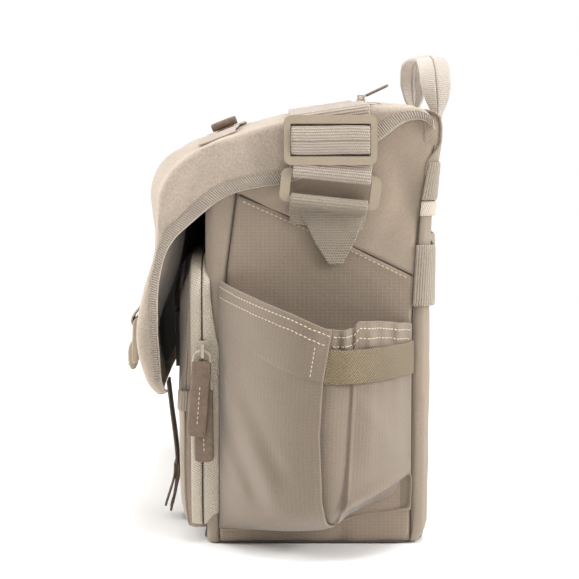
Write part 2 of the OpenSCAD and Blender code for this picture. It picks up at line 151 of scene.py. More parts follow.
def thick(name, P, t, UV=None, mat=None, body="bag", wv=False, sign=1.0, rim=3, inner=None):
    """A sheet of cloth or padding: P is its outer face (rows, columns, xyz) in mm and t its thickness."""
    nu, nv = P.shape[:2]
    N = gnormals(P, wv=wv) * sign
    Q = P - N * (t[..., None] if hasattr(t, "shape") else t) if inner is None else inner
    if UV is None:
        du = np.concatenate([[0], np.cumsum(np.linalg.norm(np.diff(P[:, nv // 2], axis=0), axis=1))])
        dv = np.concatenate([[0], np.cumsum(np.linalg.norm(np.diff(P[nu // 2], axis=0), axis=1))])
        UV = np.stack(np.meshgrid(du, dv, indexing="ij"), -1)
    verts = [P.reshape(-1, 3), Q.reshape(-1, 3)]
    uvs = [UV.reshape(-1, 2), UV.reshape(-1, 2)]
    faces = gfaces(nu, nv, wv=wv, flip=sign < 0) + gfaces(nu, nv, wv=wv, off=nu * nv, flip=sign > 0)
    n = 2 * nu * nv
    def rimloop(idx, closed, outward):
        nonlocal n
        A, B = P.reshape(-1, 3)[idx], Q.reshape(-1, 3)[idx]
        U = UV.reshape(-1, 2)[idx]
        C, Hh = (A + B) / 2, (A - B) / 2
        rows = []
        for k in range(1, rim + 1):
            th = math.pi * k / (rim + 1)
            rows.append(C + Hh * math.cos(th) + outward * np.linalg.norm(Hh, axis=1, keepdims=True) * math.sin(th) * 0.8)
        base = n
        m = len(idx)
        for r in rows:
            verts.append(r); uvs.append(U)
        n += rim * m
        chain = [list(idx)] + [list(range(base + k * m, base + (k + 1) * m)) for k in range(rim)] + [[nu * nv + i for i in idx]]
        for a, b in zip(chain, chain[1:]):
            for j in range(m if closed else m - 1):
                k2 = (j + 1) % m
                faces.append((a[j], a[k2], b[k2], b[j]))
    I = np.arange(nu * nv).reshape(nu, nv)
    if wv:
        rimloop(I[0][::-1] if sign > 0 else I[0], True, unit(P[0] - P[1])[::-1] if sign > 0 else unit(P[0] - P[1]))
        rimloop(I[-1] if sign > 0 else I[-1][::-1], True, unit(P[-1] - P[-2]) if sign > 0 else unit(P[-1] - P[-2])[::-1])
    else:
        loop = np.concatenate([I[0, :-1], I[:-1, -1], I[-1, :0:-1], I[:0:-1, 0]])
        inn = np.concatenate([np.minimum(I[1, :-1], 10 ** 9), I[:-1, -2], I[-2, :0:-1], I[:0:-1, 1]])
        flat = P.reshape(-1, 3)
        out = unit(flat[loop] - flat[inn])
        k = len(loop)
        for c in (0, nv - 1, nv - 1 + nu - 1, 2 * (nv - 1) + nu - 1):
            out[c % k] = unit(out[(c - 1) % k] + out[(c + 1) % k])
        if sign < 0:
            loop, out = loop[::-1], out[::-1]
        rimloop(loop[::-1], True, out[::-1])
    ob = make(name, np.concatenate(verts), faces, np.concatenate(uvs), mat, body)
    bm = bmesh.new(); bm.from_mesh(ob.data)
    bmesh.ops.recalc_face_normals(bm, faces=bm.faces)
    bm.to_mesh(ob.data); bm.free()
    return ob

def webbing(name, path, wdir, width, t, mat, body="bag", n=None, edge=0.7, ripple=0.0, seed=0, cols=9):
    """A flat strap: path is its centre line in mm, wdir the direction of its width."""
    path = np.asarray(path, float)
    if n:
        path = resample(path, n)
    m = len(path)
    W = unit(np.broadcast_to(np.asarray(wdir, float), path.shape))
    T = tangents(path)
    N = unit(np.cross(T, W))
    v = np.linspace(-1, 1, cols)
    width = np.broadcast_to(np.asarray(width, float), (m,))
    P = path[:, None] + W[:, None] * (v[None, :, None] * width[:, None, None] / 2) + N[:, None] * t / 2
    if ripple:
        P = P + N[:, None] * (noise(P, 22, seed) * ripple)[..., None]
    dome = (np.abs(v) ** 6 * edge * 0.35)[None, :, None]
    P = P - N[:, None] * dome
    s = arclen(path)
    UV = np.stack([np.broadcast_to(s[:, None], (m, cols)), v[None] * width[:, None] / 2], -1)
    return thick(name, P, t, UV, mat, body, sign=1.0)

def sweep(name, path, section, frameN, mat, body="bag", closed=False, caps=True, scale=None):
    """Sweeps a closed section (k,2: along N, along B) over a path with given normals."""
    path = np.asarray(path, float); m = len(path); k = len(section)
    T = np.roll(path, -1, 0) - np.roll(path, 1, 0) if closed else np.gradient(path, axis=0)
    T = unit(T)
    N = unit(frameN - (np.sum(frameN * T, 1, keepdims=True)) * T)
    B = np.cross(T, N)
    sc = np.ones((m, 2)) if scale is None else np.asarray(scale)
    sec = np.asarray(section, float)
    V = path[:, None] + N[:, None] * (sec[None, :, :1] * sc[:, None, :1]) + B[:, None] * (sec[None, :, 1:] * sc[:, None, 1:])
    s = arclen(path)
    per = np.concatenate([[0], np.cumsum(np.linalg.norm(np.diff(sec, axis=0), axis=1))])
    UV = np.stack([np.broadcast_to(s[:, None], (m, k)), np.broadcast_to(per[None], (m, k))], -1)
    faces = gfaces(m, k, wu=closed, wv=True)
    verts, uvs = V.reshape(-1, 3), UV.reshape(-1, 2)
    if caps and not closed:
        faces.append(tuple(range(k))[::-1]); faces.append(tuple(range((m - 1) * k, m * k)))
    ob = make(name, verts, faces, uvs, mat, body)
    bm = bmesh.new(); bm.from_mesh(ob.data)
    bmesh.ops.recalc_face_normals(bm, faces=bm.faces)
    bm.to_mesh(ob.data); bm.free()
    return ob

def circle(r, k=10):
    a = np.linspace(0, 2 * np.pi, k, endpoint=False)
    return np.stack([np.cos(a) * r, np.sin(a) * r], 1)

def tube(name, path, r, mat, body="bag", up=(0, 0, 1), k=10, closed=False):
    path = np.asarray(path, float)
    return sweep(name, path, circle(r, k), np.broadcast_to(np.asarray(up, float), path.shape) + 1e-3, mat, body, closed)

_caps = None
def _capsule():
    global _caps
    if _caps is None:
        rings = [(-1.0, 0.0), (-0.82, 0.62), (-0.35, 1.0), (0.35, 1.0), (0.82, 0.62), (1.0, 0.0)]
        V, F = [], []
        for x, r in rings:
            for j in range(6):
                a = 2 * math.pi * j / 6
                V.append((x, r * math.cos(a), r * math.sin(a)))
        for i in range(len(rings) - 1):
            for j in range(6):
                F.append((i * 6 + j, i * 6 + (j + 1) % 6, (i + 1) * 6 + (j + 1) % 6, (i + 1) * 6 + j))
        _caps = np.array(V), F
    return _caps

def stitches(name, lines, mat, body="bag", pitch=3.2, length=2.3, r=0.32, flat=0.75):
    """Short threads along each (points, normals) line, in mm."""
    CV, CF = _capsule()
    V, F, n = [], [], 0
    for pts, nor in lines:
        pts = np.asarray(pts, float)
        nor = np.broadcast_to(np.asarray(nor, float), pts.shape)
        s = arclen(pts)
        c = np.arange(pitch / 2, s[-1], pitch)
        if len(c) == 0:
            continue
        C = np.stack([np.interp(c, s, pts[:, k]) for k in range(3)], 1)
        D = np.stack([np.interp(c + 0.4, s, pts[:, k]) - np.interp(c - 0.4, s, pts[:, k]) for k in range(3)], 1)
        T = unit(D)
        N = unit(np.stack([np.interp(c, s, nor[:, k]) for k in range(3)], 1))
        N = unit(N - np.sum(N * T, 1, keepdims=True) * T)
        B = np.cross(T, N)
        for i in range(len(C)):
            V.append(C[i] + CV[:, :1] * T[i] * length / 2 + CV[:, 1:2] * B[i] * r + CV[:, 2:] * N[i] * r * flat)
            F += [tuple(n + k for k in f) for f in CF]
            n += len(CV)
    return make(name, np.concatenate(V), F, None, mat, body)

def loop_outline(hx, hz, r, n):
    """Rounded rectangle, centred, as n points by arc length, starting at the middle of the bottom, running towards +X."""
    pts = []
    for cx, cz, a0 in ((hx - r, -hz + r, -90), (hx - r, hz - r, 0), (-hx + r, hz - r, 90), (-hx + r, -hz + r, 180)):
        for a in np.linspace(a0, a0 + 90, 13):
            pts.append((cx + r * math.cos(math.radians(a)), cz + r * math.sin(math.radians(a))))
    pts = np.array([(0, -hz)] + pts + [(0, -hz)])
    return resample(pts, n + 1)[:-1]

# ------------------------------------------------------------------ materials
def mat_new(name, color, rough=0.85, sheen=0.0, spec=0.3, metal=0.0):
    m = bpy.data.materials.new(name); m.use_nodes = True
    nt = m.node_tree; b = nt.nodes["Principled BSDF"]
    b.inputs["Base Color"].default_value = (*color, 1)
    b.inputs["Roughness"].default_value = rough
    b.inputs["Metallic"].default_value = metal
    if "Specular IOR Level" in b.inputs:
        b.inputs["Specular IOR Level"].default_value = spec
    if sheen and "Sheen Weight" in b.inputs:
        b.inputs["Sheen Weight"].default_value = sheen
        b.inputs["Sheen Roughness"].default_value = 0.5
    return m, nt, b

def N_(nt, kind, **kw):
    n = nt.nodes.new(kind)
    for k, v in kw.items():
        if k.startswith("in_"):
            n.inputs[int(k[3:])].default_value = v
        else:
            setattr(n, k, v)
    return n

def math_(nt, op, a, b=None, c=None):
    n = nt.nodes.new("ShaderNodeMath"); n.operation = op
    for i, v in enumerate((a, b, c)):
        if v is None:
            continue
        if hasattr(v, "is_linked") or hasattr(v, "links"):
            nt.links.new(v, n.inputs[i])
        else:
            n.inputs[i].default_value = v
    return n.outputs[0]

def uv_xy(nt):
    uv = nt.nodes.new("ShaderNodeUVMap"); uv.uv_map = "UV"
    s = nt.nodes.new("ShaderNodeSeparateXYZ")
    nt.links.new(uv.outputs[0], s.inputs[0])
    return uv, s.outputs[0], s.outputs[1]

def mottle(nt, b, color, amount=0.085, scale=900.0, scale2=60.0, extra=None, dark=None):
    """Base colour with fine and broad variation; extra is a 0..1 factor that darkens towards dark."""
    tc = nt.nodes.new("ShaderNodeTexCoord")
    n1 = N_(nt, "ShaderNodeTexNoise"); n1.inputs["Scale"].default_value = scale; n1.inputs["Detail"].default_value = 3
    n2 = N_(nt, "ShaderNodeTexNoise"); n2.inputs["Scale"].default_value = scale2; n2.inputs["Detail"].default_value = 4
    nt.links.new(tc.outputs["Object"], n1.inputs["Vector"]); nt.links.new(tc.outputs["Object"], n2.inputs["Vector"])
    f = math_(nt, "ADD", math_(nt, "MULTIPLY", n1.outputs[0], 0.6), math_(nt, "MULTIPLY", n2.outputs[0], 0.4))
    r = nt.nodes.new("ShaderNodeMapRange")
    nt.links.new(f, r.inputs[0])
    r.inputs[1].default_value = 0.37; r.inputs[2].default_value = 0.63
    mix = nt.nodes.new("ShaderNodeMix"); mix.data_type = "RGBA"
    nt.links.new(r.outputs[0], mix.inputs[0])
    lo = tuple(c * (1 - amount) for c in color); hi = tuple(min(1, c * (1 + amount)) for c in color)
    mix.inputs[6].default_value = (*lo, 1); mix.inputs[7].default_value = (*hi, 1)
    out = mix.outputs[2]
    if extra is not None:
        m2 = nt.nodes.new("ShaderNodeMix"); m2.data_type = "RGBA"
        nt.links.new(extra, m2.inputs[0])
        nt.links.new(out, m2.inputs[6])
        m2.inputs[7].default_value = (*(dark or tuple(c * 0.55 for c in color)), 1)
        out = m2.outputs[2]
    nt.links.new(out, b.inputs["Base Color"])
    return n1, n2

def bump(nt, b, height, strength=0.5, dist=0.0003):
    bp = nt.nodes.new("ShaderNodeBump")
    bp.inputs["Strength"].default_value = strength
    bp.inputs["Distance"].default_value = dist
    nt.links.new(height, bp.inputs["Height"])
    nt.links.new(bp.outputs[0], b.inputs["Normal"])

def sine(nt, x, pitch, phase=0.0):
    return math_(nt, "SINE", math_(nt, "ADD", math_(nt, "MULTIPLY", x, 2 * math.pi / pitch), phase))

def fabric(name, color, kind="plain", amount=0.055, rough=0.9, sheen=0.25, strength=0.55):
    m, nt, b = mat_new(name, color, rough, sheen, 0.22)
    uv, x, y = uv_xy(nt)
    if kind == "ripstop":      # fine weave crossed by slightly raised threads
        gx = math_(nt, "POWER", math_(nt, "ABSOLUTE", math_(nt, "COSINE", math_(nt, "MULTIPLY", x, math.pi / 0.0030))), 14.0)
        gy = math_(nt, "POWER", math_(nt, "ABSOLUTE", math_(nt, "COSINE", math_(nt, "MULTIPLY", y, math.pi / 0.0022))), 14.0)
        line = math_(nt, "MAXIMUM", gx, gy)
        wv = math_(nt, "MULTIPLY", sine(nt, x, 0.00075), sine(nt, y, 0.00075))
        h = math_(nt, "ADD", math_(nt, "MULTIPLY", wv, 0.35), math_(nt, "MULTIPLY", line, 0.5))
        # painted shade: the weave between the raised grid threads is darkened
        ex = math_(nt, "MULTIPLY", math_(nt, "SUBTRACT", 1.0, line), 0.20)
    elif kind == "twill":      # diagonal ridges
        d = math_(nt, "ADD", math_(nt, "MULTIPLY", x, 0.62), math_(nt, "MULTIPLY", y, -0.78))
        s1 = sine(nt, d, 0.00150)
        wv = math_(nt, "MULTIPLY", sine(nt, x, 0.0008), sine(nt, y, 0.0008))
        h = math_(nt, "ADD", math_(nt, "MULTIPLY", s1, 0.4), math_(nt, "MULTIPLY", wv, 0.25))
        # painted shade: the colour darkens in the troughs of the diagonal ridges
        ex = math_(nt, "MULTIPLY", math_(nt, "MAXIMUM", math_(nt, "MULTIPLY", s1, -1.0), 0.0), 0.22)
    elif kind == "knit":       # soft pile or mesh
        vn = nt.nodes.new("ShaderNodeTexVoronoi"); vn.inputs["Scale"].default_value = 650
        nt.links.new(uv.outputs[0], vn.inputs["Vector"])
        h = vn.outputs["Distance"]; ex = math_(nt, "MULTIPLY", h, 0.2)
    else:
        wv = math_(nt, "MULTIPLY", sine(nt, x, 0.0009), sine(nt, y, 0.0009))
        h = math_(nt, "MULTIPLY", wv, 0.6)
        ex = math_(nt, "MULTIPLY", math_(nt, "ABSOLUTE", wv), 0.10)
    n1, n2 = mottle(nt, b, color, amount, 700.0, 28.0, ex)
    hh = math_(nt, "ADD", h, math_(nt, "MULTIPLY", n1.outputs[0], 1.1))
    bump(nt, b, hh, strength, 0.00028)
    return m

def ribbed(name, color, pitch=0.0017, cross=0.0011, diag=0.0, amount=0.12, rough=0.72, depth=0.00045, darkf=0.42, strength=0.8, dark=None, wv=0.45):
    """Webbing: ridges across its length, with the finer threads between them; the colour is darkened in the grooves, a
    painted shade.
    """
    m, nt, b = mat_new(name, color, rough, 0.2, 0.35)
    uv, x, y = uv_xy(nt)
    xx = math_(nt, "ADD", x, math_(nt, "MULTIPLY", y, diag)) if diag else x
    s1 = sine(nt, xx, pitch)
    alt = sine(nt, xx, pitch * 2)
    s2 = sine(nt, y, cross)
    h = math_(nt, "ADD", math_(nt, "MULTIPLY", s1, 0.6), math_(nt, "MULTIPLY", math_(nt, "MULTIPLY", s2, alt), wv))
    # painted shade: the colour darkens in the grooves between the ridges
    groove_shade = math_(nt, "MULTIPLY", math_(nt, "POWER", math_(nt, "MAXIMUM", math_(nt, "MULTIPLY", h, -1.0), 0.0), 1.2), darkf * 1.6)
    mottle(nt, b, color, amount, 900.0, 40.0, groove_shade, dark)
    bump(nt, b, h, strength, depth)
    return m

def leather(name, color):
    m, nt, b = mat_new(name, color, 0.5, 0.0, 0.4)
    tc = nt.nodes.new("ShaderNodeTexCoord")
    v = nt.nodes.new("ShaderNodeTexVoronoi"); v.feature = "DISTANCE_TO_EDGE"; v.inputs["Scale"].default_value = 1300
    n = nt.nodes.new("ShaderNodeTexNoise"); n.inputs["Scale"].default_value = 500; n.inputs["Detail"].default_value = 5
    nt.links.new(tc.outputs["Object"], v.inputs["Vector"]); nt.links.new(tc.outputs["Object"], n.inputs["Vector"])
    mottle(nt, b, color, 0.16, 350.0, 90.0)
    h = math_(nt, "ADD", math_(nt, "MULTIPLY", math_(nt, "MINIMUM", v.outputs["Distance"], 0.25), 2.5), math_(nt, "MULTIPLY", n.outputs[0], 0.6))
    bump(nt, b, h, 0.35, 0.00025)
    return m

def plastic(name, color, rough=0.42):
    m, nt, b = mat_new(name, color, rough, 0.0, 0.45)
    mottle(nt, b, color, 0.04, 500.0, 60.0)
    tc = nt.nodes.new("ShaderNodeTexCoord")
    n = nt.nodes.new("ShaderNodeTexNoise"); n.inputs["Scale"].default_value = 2200
    nt.links.new(tc.outputs["Object"], n.inputs["Vector"])
    bump(nt, b, n.outputs[0], 0.12, 0.0001)
    return m

TAUPE = (0.3397, 0.2735, 0.2090)
M = {}
M["cloth"] = fabric("cloth_plain", TAUPE, "plain")
M["ripstop"] = fabric("cloth_ripstop", (0.345, 0.272, 0.205), "ripstop")
# darker copy of the ripstop for the bottle pockets: painted shade, so they read no brighter than the panel behind
M["pocket"] = fabric("cloth_pocket_painted_shade", (0.252, 0.200, 0.152), "ripstop")
M["facing"] = fabric("cloth_facing", (0.27, 0.228, 0.192), "plain")
M["twill"] = fabric("cloth_twill", (0.395, 0.313, 0.238), "twill")
# lighter copy of the taupe cloth for the flap: painted light, where the flap sits nearer the lamps
M["flap"] = fabric("cloth_flap_painted_light", (0.49, 0.404, 0.324), "plain", amount=0.14)
M["base"] = fabric("cloth_base", (0.12, 0.098, 0.080), "plain")
M["lining"] = fabric("cloth_lining", (0.045, 0.045, 0.052), "plain", rough=0.6, sheen=0.15, strength=0.3)
M["divider"] = fabric("cloth_divider", (0.075, 0.075, 0.08), "knit")
M["web"] = ribbed("webbing_taupe", (0.3784, 0.3139, 0.2451))
M["web_light"] = ribbed("webbing_light", (0.53, 0.443, 0.365), pitch=0.0018, cross=0.0014, darkf=1.0, depth=0.0005)
M["web_dark"] = ribbed("webbing_dark", (0.135, 0.105, 0.08), pitch=0.0016)
M["web_dk2"] = ribbed("webbing_mid", (0.2580, 0.2064, 0.1591), pitch=0.0016)
M["web_handle"] = ribbed("webbing_handle", (0.5332, 0.4687, 0.4042), pitch=0.0014, cross=0.0009, darkf=0.15, depth=0.00018)
M["bind"] = ribbed("binding_tape", (0.47, 0.40, 0.32), pitch=0.0015, cross=0.0011, depth=0.0007, darkf=1.5, wv=0.08)
M["bind_body"] = ribbed("binding_body", (0.2580, 0.2064, 0.1591), pitch=0.0013, cross=0.0012, depth=0.0003)
M["elastic"] = ribbed("elastic_olive", (0.225, 0.168, 0.095), pitch=0.0017, cross=0.0015, diag=0.9, darkf=0.25, depth=0.0006)
M["tape"] = ribbed("zip_tape", (0.62, 0.54, 0.43), pitch=0.0016, cross=0.0014, diag=0.6, amount=0.04, darkf=0.5, depth=0.0003)
M["coil"] = plastic("zip_coil", (0.4300, 0.3655, 0.2752), 0.5)
# dark strip laid between a zip's teeth: painted shade in the gap
M["coildark"] = plastic("zip_gap_shade", (0.06, 0.05, 0.04), 0.7)
M["slider"] = plastic("zip_slider", (0.5160, 0.4558, 0.3612), 0.38)
M["cord"] = fabric("pull_cord", (0.5332, 0.4730, 0.3784), "plain", amount=0.06)
M["leather"] = leather("leather_brown", (0.125, 0.082, 0.056))
M["leather2"] = leather("leather_mid", (0.2021, 0.1419, 0.1032))
M["hard"] = plastic("hardware_beige", (0.3956, 0.3225, 0.2365), 0.4)
M["keeper"] = plastic("keeper_dark", (0.045, 0.038, 0.032), 0.5)
M["board"] = plastic("board", (0.03, 0.03, 0.03), 0.6)
M["seam"] = fabric("seam_shadow", (0.075, 0.058, 0.045), "plain", amount=0.05)
M["thread"] = fabric("thread_cream", (0.70, 0.58, 0.40), "plain", amount=0.05)
M["thread_t"] = fabric("thread_taupe", (0.36, 0.285, 0.21), "plain", amount=0.05)

# ------------------------------------------------------------------ body shell
XE = 189.4
def yf(z): return lerp(z, [0, 20, 80, 140, 182, 228, 245], [-44, -44, -43, -40.5, -38.5, -32.5, -31])
def yb(z): return lerp(z, [0, 150, 177, 200, 225, 240, 252, 265, 272], [83, 83.3, 84.6, 86, 88.6, 91.2, 94.0, 97.2, 98.2])
def yback(z): return lerp(z, [0, 3, 7, 14, 100, 200, 222, 240, 256, 271], [86, 90, 93.5, 95.3, 96, 96.4, 97.0, 98.4, 99.6, 100.6])
def zt(y): return lerp(y, [-52, -34, -12, 12, 36, 58, 72, 84, 88, 99], [243, 252, 260, 266.5, 271.5, 276, 279, 279.6, 278.6, 273])
def zseam(y): return lerp(y, [-32, 10, 50, 84], [231.5, 213, 194, 177.5])

def back_row(z, off=0.0, nflat=90):
    y0, y1 = float(yb(z)), float(yback(z))
    rc = max(1.2, min(9.0, y1 - y0 - 0.3))
    half = [(XE + off, y) for y in np.linspace(y0, y1 - rc, 5)]
    half += [(XE - rc + (rc + off) * math.cos(a), y1 - rc + (rc + off) * math.sin(a)) for a in np.linspace(0, math.pi / 2, 9)[1:]]
    flat = [(x, y1 + off) for x in np.linspace(XE - rc, -(XE - rc), nflat)[1:-1]]
    return np.array(half + flat + [(-x, y) for x, y in half[::-1]])

def front_row(z, off=0.0, nflat=80):
    y0 = float(yf(z)); rc = 6.0
    half = [(XE + off, y) for y in np.linspace(y0, -52 + rc, 6)]
    half += [(XE - rc + (rc + off) * math.cos(a), -52 + rc - (rc + off) * math.sin(a)) for a in np.linspace(0, math.pi / 2, 8)[1:]]
    flat = [(x, -52 - off) for x in np.linspace(XE - rc, -(XE - rc), nflat)[1:-1]]
    return np.array(half + flat + [(-x, y) for x, y in half[::-1]])

def wrap(rowf, zs, off=0.0):
    R = [rowf(z, off) for z in zs]
    return np.stack([np.concatenate([r, np.full((len(r), 1), z)], 1) for r, z in zip(R, zs)])

def edge_dip(P, d, w=1.4, k=1.0, N=None):
    return P - N * (k * np.exp(-(d / w) ** 2))[..., None]

# back, wrapped round both rear corners
zs = cluster(1.5, 271, 110, (0.8, 2.0, 4.0))
P = wrap(back_row, zs)
N = gnormals(P) * -1
seamd = np.minimum(np.abs(arclen(P[40])[None] + 0 * P[..., 0]), np.abs(arclen(P[40])[-1] - arclen(P[40]))[None] + 0 * P[..., 0])
P = edge_dip(P, seamd, 1.6, 1.1, N)
crown = 1.6 * np.clip(1 - (P[..., 0] / 178) ** 2, 0, 1) ** 0.7 * np.clip(np.sin(np.pi * np.clip((P[..., 2] - 6) / 262, 0, 1)), 0, 1) ** 0.5
P[..., 1] += crown * (P[..., 1] > 92) - 1.0 * (P[..., 1] > 92)
P += N * (fbm(P, 55, 3) * 0.55)[..., None]
UVb = np.stack([np.broadcast_to(arclen(P[40])[None], P.shape[:2]), P[..., 2]], -1)
back = thick("back_panel_padded", P, 3.0, UVb, M["cloth"], sign=-1)
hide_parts("back_panel", "back_wall")

# front wall, wrapped round both front corners
zs = cluster(1.5, 243, 80, (0.8, 2.0, 4.0))
P = wrap(front_row, zs)
N = gnormals(P)
a40 = arclen(P[40]); seamd = np.broadcast_to(np.minimum(a40, a40[-1] - a40)[None], P.shape[:2])
P = edge_dip(P, seamd, 1.5, 1.0, N)
P += N * (fbm(P, 50, 5) * 0.5)[..., None]
front = thick("front_wall_padded", P, 3.0, np.stack([np.broadcast_to(a40[None], P.shape[:2]), P[..., 2]], -1), M["cloth"], sign=1)
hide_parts("front_wall")

def end_panel(sx):
    side = "right" if sx > 0 else "left"
    ncol = 110
    c = np.concatenate([[0, 0.006, 0.014], np.linspace(0.025, 0.975, ncol), [0.986, 0.994, 1.0]])
    def build(t, zlo, zhi):
        T, C = np.meshgrid(t, c, indexing="ij")
        z = 120.0 + 0 * T
        for _ in range(6):
            y = yf(z) + C * (yb(z) - yf(z))
            z = zlo(y) + T * (zhi(y) - zlo(y))
        return y, z, C, T
    def relief(y, z, C):
        # padded crown, creases and the groove along the seams
        x = XE + 0.4 + 1.0 * np.sin(np.pi * np.clip(C, 0, 1)) ** 0.6
        x -= 1.1 * np.exp(-((C * 125) / 1.6) ** 2) + 1.1 * np.exp(-(((1 - C) * 125) / 1.6) ** 2)
        x -= 0.9 * np.exp(-(((z - zseam(y)) * 0.9) / 1.1) ** 2)
        p = np.stack([np.full_like(y, 3.0), y, z], -1)
        x += 0.35 * fbm(p, 34, 11 + int(sx)) + 0.12 * noise(p, 7, 5)
        x -= 2.6 * np.exp(-(((y - 79) * 0.8 + (z - 236) * 0.25) / 9) ** 2 - ((z - 232) / 26) ** 2)
        x += 0.9 * np.exp(-(((y + 20) * 0.9 - (z - 190) * 0.15) / 12) ** 2 - ((z - 190) / 30) ** 2)
        x -= 0.9 * np.exp(-(((y - 66) * 0.7 - (z - 205) * 0.35) / 5) ** 2 - ((z - 214) / 22) ** 2)
        return x
    t = cluster(0, 1, 120, (0.006, 0.014))
    y, z, C, T = build(t, lambda y: 1.3 + 0 * y, zseam)
    x = relief(y, z, C)
    x -= 3.0 * np.clip(1 - z / 7.0, 0, 1) ** 2
    p = np.stack([np.zeros_like(y), y * 1.0, z * 0], -1)
    x += 0.7 * noise(p, 9, 4) * np.exp(-(z / 12) ** 2)
    P = np.stack([x * sx, y, z], -1)
    ob = thick(f"end_panel_{side}_padded", P, 3.0, np.stack([y, z], -1), M["ripstop"], sign=-sx)
    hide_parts(f"end_panel_{side}")
    t = cluster(0, 1, 60, (0.012, 0.03))
    y, z, C, T = build(t, zseam, zt)
    x = np.minimum(relief(y, z, C), 190.45)
    P = np.stack([x * sx, y, z], -1)
    ob = thick(f"end_yoke_{side}_padded", P, 3.0, np.stack([y, z], -1), M["twill"], sign=-sx)
    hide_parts(f"end_yoke_{side}")
    # stitching below the yoke seam
    ys = np.linspace(-28, 80, 60)
    l1 = np.stack([np.full_like(ys, (XE + 1.75) * sx), ys, zseam(ys) - 3.2], 1)
    st = stitches(f"yoke_stitch_{side}", [(l1, (sx, 0, 0))], M["thread"], pitch=3.2, length=2.3, r=0.34)

for sx in (1, -1):
    end_panel(sx)
    side = "right" if sx > 0 else "left"
    zs = np.linspace(3, 240, 120)
    fr_ = np.stack([np.full(120, (XE - 0.15) * sx), yf(zs) + 0.2, zs], 1)
    zs = np.linspace(3, 268, 120)
    bk_ = np.stack([np.full(120, (XE - 0.15) * sx), yb(zs) - 0.2, zs], 1)
    ys = np.linspace(-30, 82.5, 70)
    yk_ = np.stack([np.full(70, (XE + 0.05) * sx), ys, zseam(ys)], 1)
    for nm, l in (("front", fr_), ("back", bk_), ("yoke", yk_)):
        # dark tubes in the seam grooves: painted shade in the gaps
        sl = tube(f"end_seam_shade_{nm}_{side}", l, 0.55, M["seam"], up=(sx, 0, 0), k=6)

# dark base with a bound edge
hx, hy, cy = 183.0, 66.0, 18.8
rows = []
o = loop_outline(hx, hy, 14, 220)
prof = [(-60, 0.15), (-14, 0.1), (-2, 0.1), (3.4, 0.1), (6.0, 0.2), (7.0, 0.6), (7.1, 1.0), (6.4, 1.4), (3.0, 1.6), (-8, 1.8)]
def outl(ins):
    return loop_outline(hx + ins, hy + ins, max(14 + ins, 2), 220)
V = []
for ins, z in prof:
    q = outl(ins)
    V.append(np.stack([q[:, 0], q[:, 1] + cy, np.full(len(q), z)], 1))
V = np.array(V)
V[..., 2] += np.clip(noise(V * [1, 1, 0], 14, 9), -0.2, 1) * 0.7 * (V[..., 2] > 1.0)
nu, nv = V.shape[:2]
faces = gfaces(nu, nv, wv=True)
verts = np.concatenate([V.reshape(-1, 3), [[0, cy, 0.15]], [[0, cy, 4.6]]])
faces += [(nu * nv, j, (j + 1) % nv) for j in range(nv)] + [(nu * nv + 1, (nu - 1) * nv + (j + 1) % nv, (nu - 1) * nv + j) for j in range(nv)]
uv = np.concatenate([np.stack([V[..., 0], V[..., 1] + V[..., 2]], -1).reshape(-1, 2), [[0, cy]], [[0, cy]]])
base = make("base_cloth", verts, faces, uv, M["base"])
bm = bmesh.new(); bm.from_mesh(base.data); bmesh.ops.recalc_face_normals(bm, faces=bm.faces); bm.to_mesh(base.data); bm.free()
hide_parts("base_panel")

# rim round the mouth of the main compartment
ys = np.linspace(-46, 84, 60)
right = [(185.4, y, float(zt(y)) - 1.0) for y in ys]
bk = [(x, 88.2, 269.6) for x in np.linspace(182, -182, 60)]
left = [(-185.4, y, float(zt(y)) - 1.0) for y in ys[::-1]]
fr = [(x, -48.3, 242.6) for x in np.linspace(-182, 182, 60)]
path = np.array(right + bk + left + fr + right[:1])
path = resample(path, 320)[:-1]
for _ in range(6):
    path = (np.roll(path, 1, 0) + path * 2 + np.roll(path, -1, 0)) / 4
sec = np.array([(3.2 * math.sin(a), (5.0 if abs(math.cos(a)) < 2 else 5) * math.cos(a)) for a in np.linspace(0, 2 * math.pi, 16, endpoint=False)])
sec = np.stack([np.sign(sec[:, 0]) * np.abs(sec[:, 0] / 3.2) ** 0.6 * 3.2, np.sign(sec[:, 1]) * np.abs(sec[:, 1] / 5) ** 0.6 * 5.0], 1)
rim = sweep("mouth_rim_binding", path, sec, np.tile([0, 0, 1.0], (len(path), 1)), M["bind_body"], closed=True)

